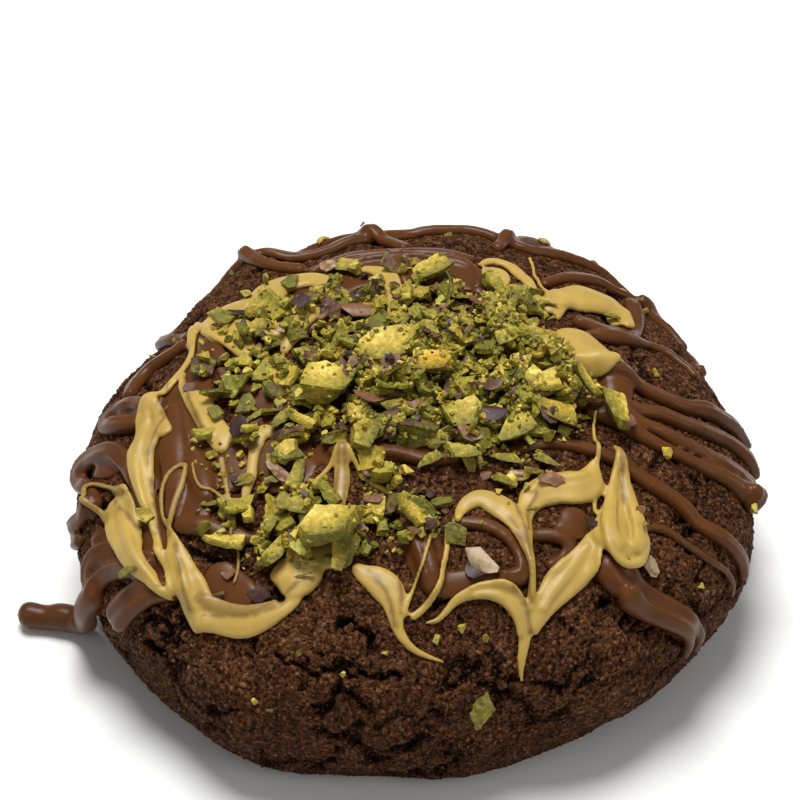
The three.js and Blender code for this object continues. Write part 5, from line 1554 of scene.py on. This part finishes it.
class COOKIE_OT_chop_nuts(bpy.types.Operator):
    """Chop the pistachios and let them fall: coarse pieces, small ones, crumbs and skins"""

    bl_idname = "cookie.chop_nuts"
    bl_label = "Chop the Pistachios"

    def execute(self, context):
        form, lifts = on_bench("form"), on_bench("lifts")
        bench["clear"] = clear_map(lifts)
        amounts = context.scene.cookie_nuts
        material = nut_material(amounts)
        rng = random.Random(41)
        pile = {name: Gathered() for name in ("large", "medium", "small", "crumbs")}
        chips = self.cut_chips(rng)
        self.lay_core(form, lifts, material)
        self.drop_small(pile["small"], form, lifts, chips, int(amounts.small * 0.6), rng)
        self.drop_medium(pile["medium"], form, lifts, amounts.medium, rng)
        self.drop_large(pile["large"], form, lifts, rng)
        self.drop_small(pile["small"], form, lifts, chips, int(amounts.small * 0.3), rng)
        self.drop_strays(pile["small"], form, lifts, chips, rng)
        names = {"large": "chopped_pistachio_large", "medium": "chopped_pistachio_medium",
                 "small": "chopped_pistachio_small", "crumbs": "pistachio_crumbs"}
        for kind, name in names.items():
            if kind == "crumbs":
                self.drop_crumbs(pile["crumbs"], form, lifts, amounts.crumbs, rng)
            piece = shown(name, pile[kind].mesh(name), material, 38)
            if kind == "large":
                chunks = sorted(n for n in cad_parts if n.startswith("pistachio_chunk_"))
                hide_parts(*chunks)
            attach(piece, "root")
        self.drop_skins(form, lifts, amounts, rng)
        return {"FINISHED"}

    def lay_core(self, form, lifts, material):
        """The meal of finely ground nut under the pieces, as an uneven low mound."""
        ball, faces = unit_sphere(96, 60)
        bearing = np.arctan2(ball[:, 1], ball[:, 0])
        out = np.hypot(ball[:, 0], ball[:, 1]).clip(0, 1)
        ragged = 1 + 0.16 * np.cos(3 * bearing + 0.4) + 0.1 * np.cos(7 * bearing) \
            + 0.06 * np.cos(13 * bearing + 1)
        x = 7 + 13 * out * ragged * np.cos(bearing)
        y = -2 + 11 * out * ragged * np.sin(bearing)
        under = lifts.read(x, y, lifts.soft(0.8))
        flat = np.stack((x, y, np.zeros_like(x)), 1)
        grains = 0.5 - cells_at(flat, 1.1, 30)[:, 0]
        rise = (0.7 + 0.7 * grains + 0.7 * noise_at(flat, 3, 31)) * np.sqrt(1 - out * out)
        lift = under + np.where(ball[:, 2] > 0.001, rise, -0.4)
        kernel = np.zeros((len(x), 3))
        kernel[:, 0] = np.clip(0.95 - grains * 0.5, 0, 1)
        mesh = mesh_from("nut_meal", form.at(x, y, lift), faces,
                         {"kernel": kernel, "tint": np.full(len(x), 0.8),
                          "skin": smooth_step(-0.1, 0.1, noise_at(flat, 1.5, 32))})
        piece = shown("nut_meal", mesh, material)
        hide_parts("chopped_pistachio_heap")
        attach(piece, "root")
        inside = ball[:, 2] > 0.001
        for px, py, pl in zip(x[inside][::3], y[inside][::3], lift[inside][::3]):
            lifts.raise_disc(px, py, 0.6, pl, 0.0)

    def drop_large(self, into, form, lifts, rng):
        """The coarsest pieces, each at its own place."""
        for x, y, long, wide, turn, green, curved in LARGE_NUTS:
            long, wide = long * LARGE_SHARE, wide * LARGE_SHARE
            shape = None
            while shape is None:
                if curved:
                    shape = chop_shell(rng, long, wide, 0.9)
                else:
                    shape = chop_chunk(rng, long, wide, wide * rng.uniform(0.5, 0.8), 0.45)
            rotation = turned(rng, math.radians(turn), rng.uniform(0.05, 0.4), green < 0.6)
            drop(into, form, lifts, x, y, shape, rotation, 0.2,
                 tint=0.02 + 0.86 * green, skin=0.8 if green > 0.8 else 0.2)

    def drop_medium(self, into, form, lifts, count, rng):
        """Pieces of a few millimetres, which fall round the coarse ones and not on them."""
        while count > 0:
            x, y = fall_place(rng, lifts, 1.0, 0.97)
            long = 1.8 + 2.4 * rng.random() ** 1.3
            if rng.random() < 0.3:
                shape = chop_shell(rng, long * 1.2, long * rng.uniform(0.6, 0.95),
                                   rng.uniform(0.4, 0.8))
            else:
                shape = chop_piece(rng, long, long * rng.uniform(0.5, 0.95),
                                   long * rng.uniform(0.3, 0.75), rng.uniform(0.1, 1), 0.6, 0.07)
            if shape is None:
                continue
            count -= 1
            rotation = turned(rng, rng.uniform(0, ANY_TURN), rng.uniform(0, 0.8),
                              rng.random() < 0.55)
            drop(into, form, lifts, x, y, shape, rotation, 0.2,
                 tint=0.14 + 0.86 * rng.random(), skin=1.0 if rng.random() < 0.35 else 0.2)

    def cut_chips(self, rng):
        """Small chips about 1.25 mm long, as patterns for the many that fall."""
        chips = []
        while len(chips) < CHIP_PATTERNS:
            size = rng.uniform(1.0, 1.5)
            if len(chips) % 4 == 0:
                chip = chop_piece(rng, size * 1.5, size * rng.uniform(0.3, 0.5), size * 0.3,
                                  rng.uniform(0.5, 1), bevel=0)
            else:
                chip = chop_piece(rng, size, size * rng.uniform(0.55, 0.9),
                                  size * rng.uniform(0.4, 0.8), rng.uniform(0.3, 1), bevel=0)
            if chip is not None:
                chips.append(chip)
        return chips

    def drop_small(self, into, form, lifts, chips, count, rng):
        for _ in range(count):
            x, y = fall_place(rng, lifts, 1.08, 0.95)
            vertices, faces, kernel = rng.choice(chips)
            size = rng.uniform(0.65, 1.45)
            rotation = turned(rng, rng.uniform(0, ANY_TURN), rng.uniform(0, 1.2),
                              rng.random() < 0.5)
            drop(into, form, lifts, x, y, (vertices * size, faces, kernel), rotation, 0.25,
                 tint=0.12 + 0.88 * rng.random(), skin=1.0 if rng.random() < 0.3 else 0.15)

    def drop_strays(self, into, form, lifts, chips, rng):
        """The few chips that rolled off on to the dough."""
        for x, y, size in STRAY_NUTS:
            vertices, faces, kernel = rng.choice(chips)
            rotation = turned(rng, rng.uniform(0, ANY_TURN), rng.uniform(0, 1.2))
            drop(into, form, lifts, x, y, (vertices * size * 0.6, faces, kernel), rotation, 0.2,
                 tint=rng.uniform(0.05, 0.9), skin=0.4)

    def drop_crumbs(self, into, form, lifts, count, rng):
        """The finest bits, each on the very surface of what it lands on."""
        landing = tree_of(*(bpy.data.objects[name].data for name in LANDINGS))
        shapes = []
        while len(shapes) < CRUMB_PATTERNS:
            shape = chop_piece(rng, 1.0, rng.uniform(0.5, 0.9), rng.uniform(0.35, 0.7),
                               rng.uniform(0.1, 0.9), bevel=0)
            if shape is not None and len(shape[1]) < 26:
                shapes.append(shape)
        for _ in range(count):
            x, y = fall_place(rng, lifts, 1.2, 0.88)
            vertices, faces, _ = rng.choice(shapes)
            size = 0.35 + 0.55 * rng.random() ** 1.5
            kernel = np.zeros((len(vertices), 3))
            kernel[:, 0] = rng.uniform(0.3, 0.95)
            rotation = turned(rng, rng.uniform(0, ANY_TURN), rng.uniform(0, 1.5))
            tint, skin = rng.uniform(0.3, 1), 1.0 if rng.random() < 0.3 else 0.0
            up = form.outward(x, y)
            start = form.plain(x, y) + up * FALL_HEIGHT
            place = landing.ray_cast(start.tolist(), (-up).tolist(), 2 * FALL_HEIGHT)[0]
            if place is not None:
                into.add(vertices @ rotation.T * size + np.array(place) + up * 0.2 * size, faces,
                         kernel=kernel, tint=tint, skin=skin)

    def drop_skins(self, form, lifts, amounts, rng):
        flakes = Gathered()
        wanted = list(SKIN_FLAKES)
        for _ in range(amounts.flakes):
            x, y = fall_place(rng, lifts)
            wanted.append((x, y, rng.uniform(0.9, 2.3), rng.uniform(0.6, 1.6),
                           rng.uniform(0, 360), rng.uniform(0.15, 1)))
        for x, y, long, wide, turn, purple in wanted:
            bm = bmesh.new()
            bmesh.ops.create_circle(bm, cap_ends=True, segments=11, radius=0.5)
            bmesh.ops.inset_region(bm, faces=bm.faces[:], thickness=0.18)
            bmesh.ops.triangulate(bm, faces=bm.faces[:])
            seed = rng.uniform(0, 90)
            for vertex in bm.verts:
                ragged = 1 + 0.5 * noise.noise(vertex.co * 3 + Vector((seed, 0, 0)))
                place = vertex.co * ragged
                curl = 0.22 * (place.x * place.x * 4) + 0.12 * noise.noise(
                    place * 4 + Vector((0, seed, 0)))
                vertex.co = Vector((place.x * long, place.y * wide, curl * wide))
            bmesh.ops.solidify(bm, geom=bm.faces[:], thickness=0.16)
            bmesh.ops.recalc_face_normals(bm, faces=bm.faces)
            vertices, faces = arrays_of(bm)
            rotation = turned(rng, math.radians(turn), rng.uniform(0, 0.5))
            drop(flakes, form, lifts, x, y,
                 (vertices, faces, np.zeros((len(vertices), 3))), rotation, 0.1, tint=purple)
        piece = shown("pistachio_skins", flakes.mesh("pistachio_skins"), skin_material(amounts), 50)
        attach(piece, "root")


class COOKIE_OT_scatter_grains(bpy.types.Operator):
    """Scatter loose crumbs of dough over the bare crust"""

    bl_idname = "cookie.scatter_grains"
    bl_label = "Scatter the Dough Crumbs"

    def execute(self, context):
        form, lifts = on_bench("form"), on_bench("lifts")
        sizes = context.scene.cookie_dough
        rng = random.Random(7)
        bm = bmesh.new()
        bmesh.ops.create_uvsphere(bm, u_segments=4, v_segments=2, radius=0.5)
        ball, faces = arrays_of(bm)
        count = int(sizes.loose_grains * (1))
        crust = on_bench("crust_lift")
        grains = Gathered()
        while count > 0:
            away = math.sqrt(rng.random()) * (form.foot - 1.5)
            bearing = rng.uniform(0, 2 * math.pi)
            x, y = away * math.cos(bearing), away * math.sin(bearing)
            count -= 1
            lift = float(lifts.read(x, y))
            if lift > float(lifts.read(x, y, crust)) + 0.15:
                continue
            size = 0.28 + 0.45 * rng.random() ** 3
            shape = ball * np.array([rng.uniform(0.7, 1.3) for _ in range(3)]) * size
            shape = shape @ turned(rng, rng.uniform(0, ANY_TURN), rng.uniform(0, 3)).T
            up = form.outward(x, y)
            points = shape + form.plain(x, y) + up * (lift - 0.12 * size)
            points[:, 2] = np.maximum(points[:, 2], 0.02)
            grains.add(points, faces, tint=0.12 + 0.88 * rng.random() ** 1.4)
        piece = shown("loose_cocoa_crumbs", grains.mesh("loose_cocoa_crumbs"),
                      grain_material(sizes))
        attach(piece, "root")
        return {"FINISHED"}


class COOKIE_OT_set_stage(bpy.types.Operator):
    """Set the camera, the pale floor and the soft light"""

    bl_idname = "cookie.set_stage"
    bl_label = "Set the Stage"

    def execute(self, context):
        stage = context.scene.cookie_stage
        middle = Vector((0, 0, COOKIE_MIDDLE))
        lens = bpy.data.cameras.new("photo_camera")
        lens.lens = stage.lens
        lens.sensor_width = 36
        lens.shift_x = -COOKIE_RIGHT / PICTURE_SIZE
        lens.shift_y = COOKIE_BELOW / PICTURE_SIZE
        lens.clip_start = 0.01
        camera = bpy.data.objects.new("photo_camera", lens)
        camera.location = middle + stage.distance * Vector(
            (0, -math.cos(stage.elevation), math.sin(stage.elevation)))
        camera.rotation_euler = (math.pi / 2 - stage.elevation, 0, 0)
        context.scene.collection.objects.link(camera)
        context.scene.camera = camera
        self.add_floor(context, stage)
        for name, (place, size, power) in LIGHTS.items():
            self.add_light(context, name, place, size, power)
        world = bpy.data.worlds.new("studio")
        world.use_nodes = True
        background = world.node_tree.nodes["Background"]
        background.inputs["Color"].default_value = (1, 1, 1, 1)
        background.inputs["Strength"].default_value = SURROUND_LIGHT
        context.scene.world = world
        context.scene.view_settings.view_transform = "Standard"
        return {"FINISHED"}

    def add_floor(self, context, stage):
        bm = bmesh.new()
        bmesh.ops.create_grid(bm, x_segments=1, y_segments=1, size=3)
        bmesh.ops.translate(bm, vec=(0, 0, -0.0001), verts=bm.verts)
        mesh = bpy.data.meshes.new("floor")
        bm.to_mesh(mesh)
        bm.free()
        material, tree, _ = new_material("matt_white_card")
        shader = add(tree, "ShaderNodeBsdfPrincipled", Base_Color=linear(stage.floor),
                     Roughness=0.95)
        finish_material(tree, shader, Specular_IOR_Level=0.1)
        mesh.materials.append(material)
        floor = bpy.data.objects.new("floor", mesh)
        context.scene.collection.objects.link(floor)

    def add_light(self, context, name, place, size, power):
        lamp = bpy.data.lights.new(name, "AREA")
        lamp.shape = "DISK"
        lamp.size = size
        lamp.energy = power
        light = bpy.data.objects.new(name, lamp)
        light.location = place
        light.rotation_euler = (-Vector(place)).to_track_quat("-Z", "Y").to_euler()
        context.scene.collection.objects.link(light)


class COOKIE_PT_steps(bpy.types.Panel):
    """The steps that make the cookie, in order"""

    bl_label = "Pistachio Cookie"
    bl_idname = "COOKIE_PT_steps"
    bl_space_type = "VIEW_3D"
    bl_region_type = "UI"
    bl_category = "Cookie"

    def draw(self, context):
        for settings in (context.scene.cookie_dough, context.scene.cookie_drizzle,
                         context.scene.cookie_nuts, context.scene.cookie_stage):
            box = self.layout.box()
            for name in settings.__annotations__:
                box.prop(settings, name)
        for step in STEPS:
            self.layout.operator(step.bl_idname)


STEPS = (
    COOKIE_OT_bake_dough, COOKIE_OT_pour_chocolate, COOKIE_OT_pipe_cream,
    COOKIE_OT_scatter_grains, COOKIE_OT_chop_nuts, COOKIE_OT_set_stage,
)
SETTINGS = {
    "cookie_dough": DoughProperties, "cookie_drizzle": DrizzleProperties,
    "cookie_nuts": NutProperties, "cookie_stage": StageProperties,
}


def register():
    for kind in (*SETTINGS.values(), *STEPS, COOKIE_PT_steps):
        bpy.utils.register_class(kind)
    for name, kind in SETTINGS.items():
        setattr(bpy.types.Scene, name, bpy.props.PointerProperty(type=kind))


def unregister():
    for name in SETTINGS:
        delattr(bpy.types.Scene, name)
    for kind in (COOKIE_PT_steps, *STEPS, *SETTINGS.values()):
        bpy.utils.unregister_class(kind)


def main():
    register()
    bpy.ops.cookie.bake_dough()
    bpy.ops.cookie.pour_chocolate()
    bpy.ops.cookie.pipe_cream()
    bpy.ops.cookie.scatter_grains()
    bpy.ops.cookie.chop_nuts()
    bpy.ops.cookie.set_stage()


if __name__ == "__main__":
    main()
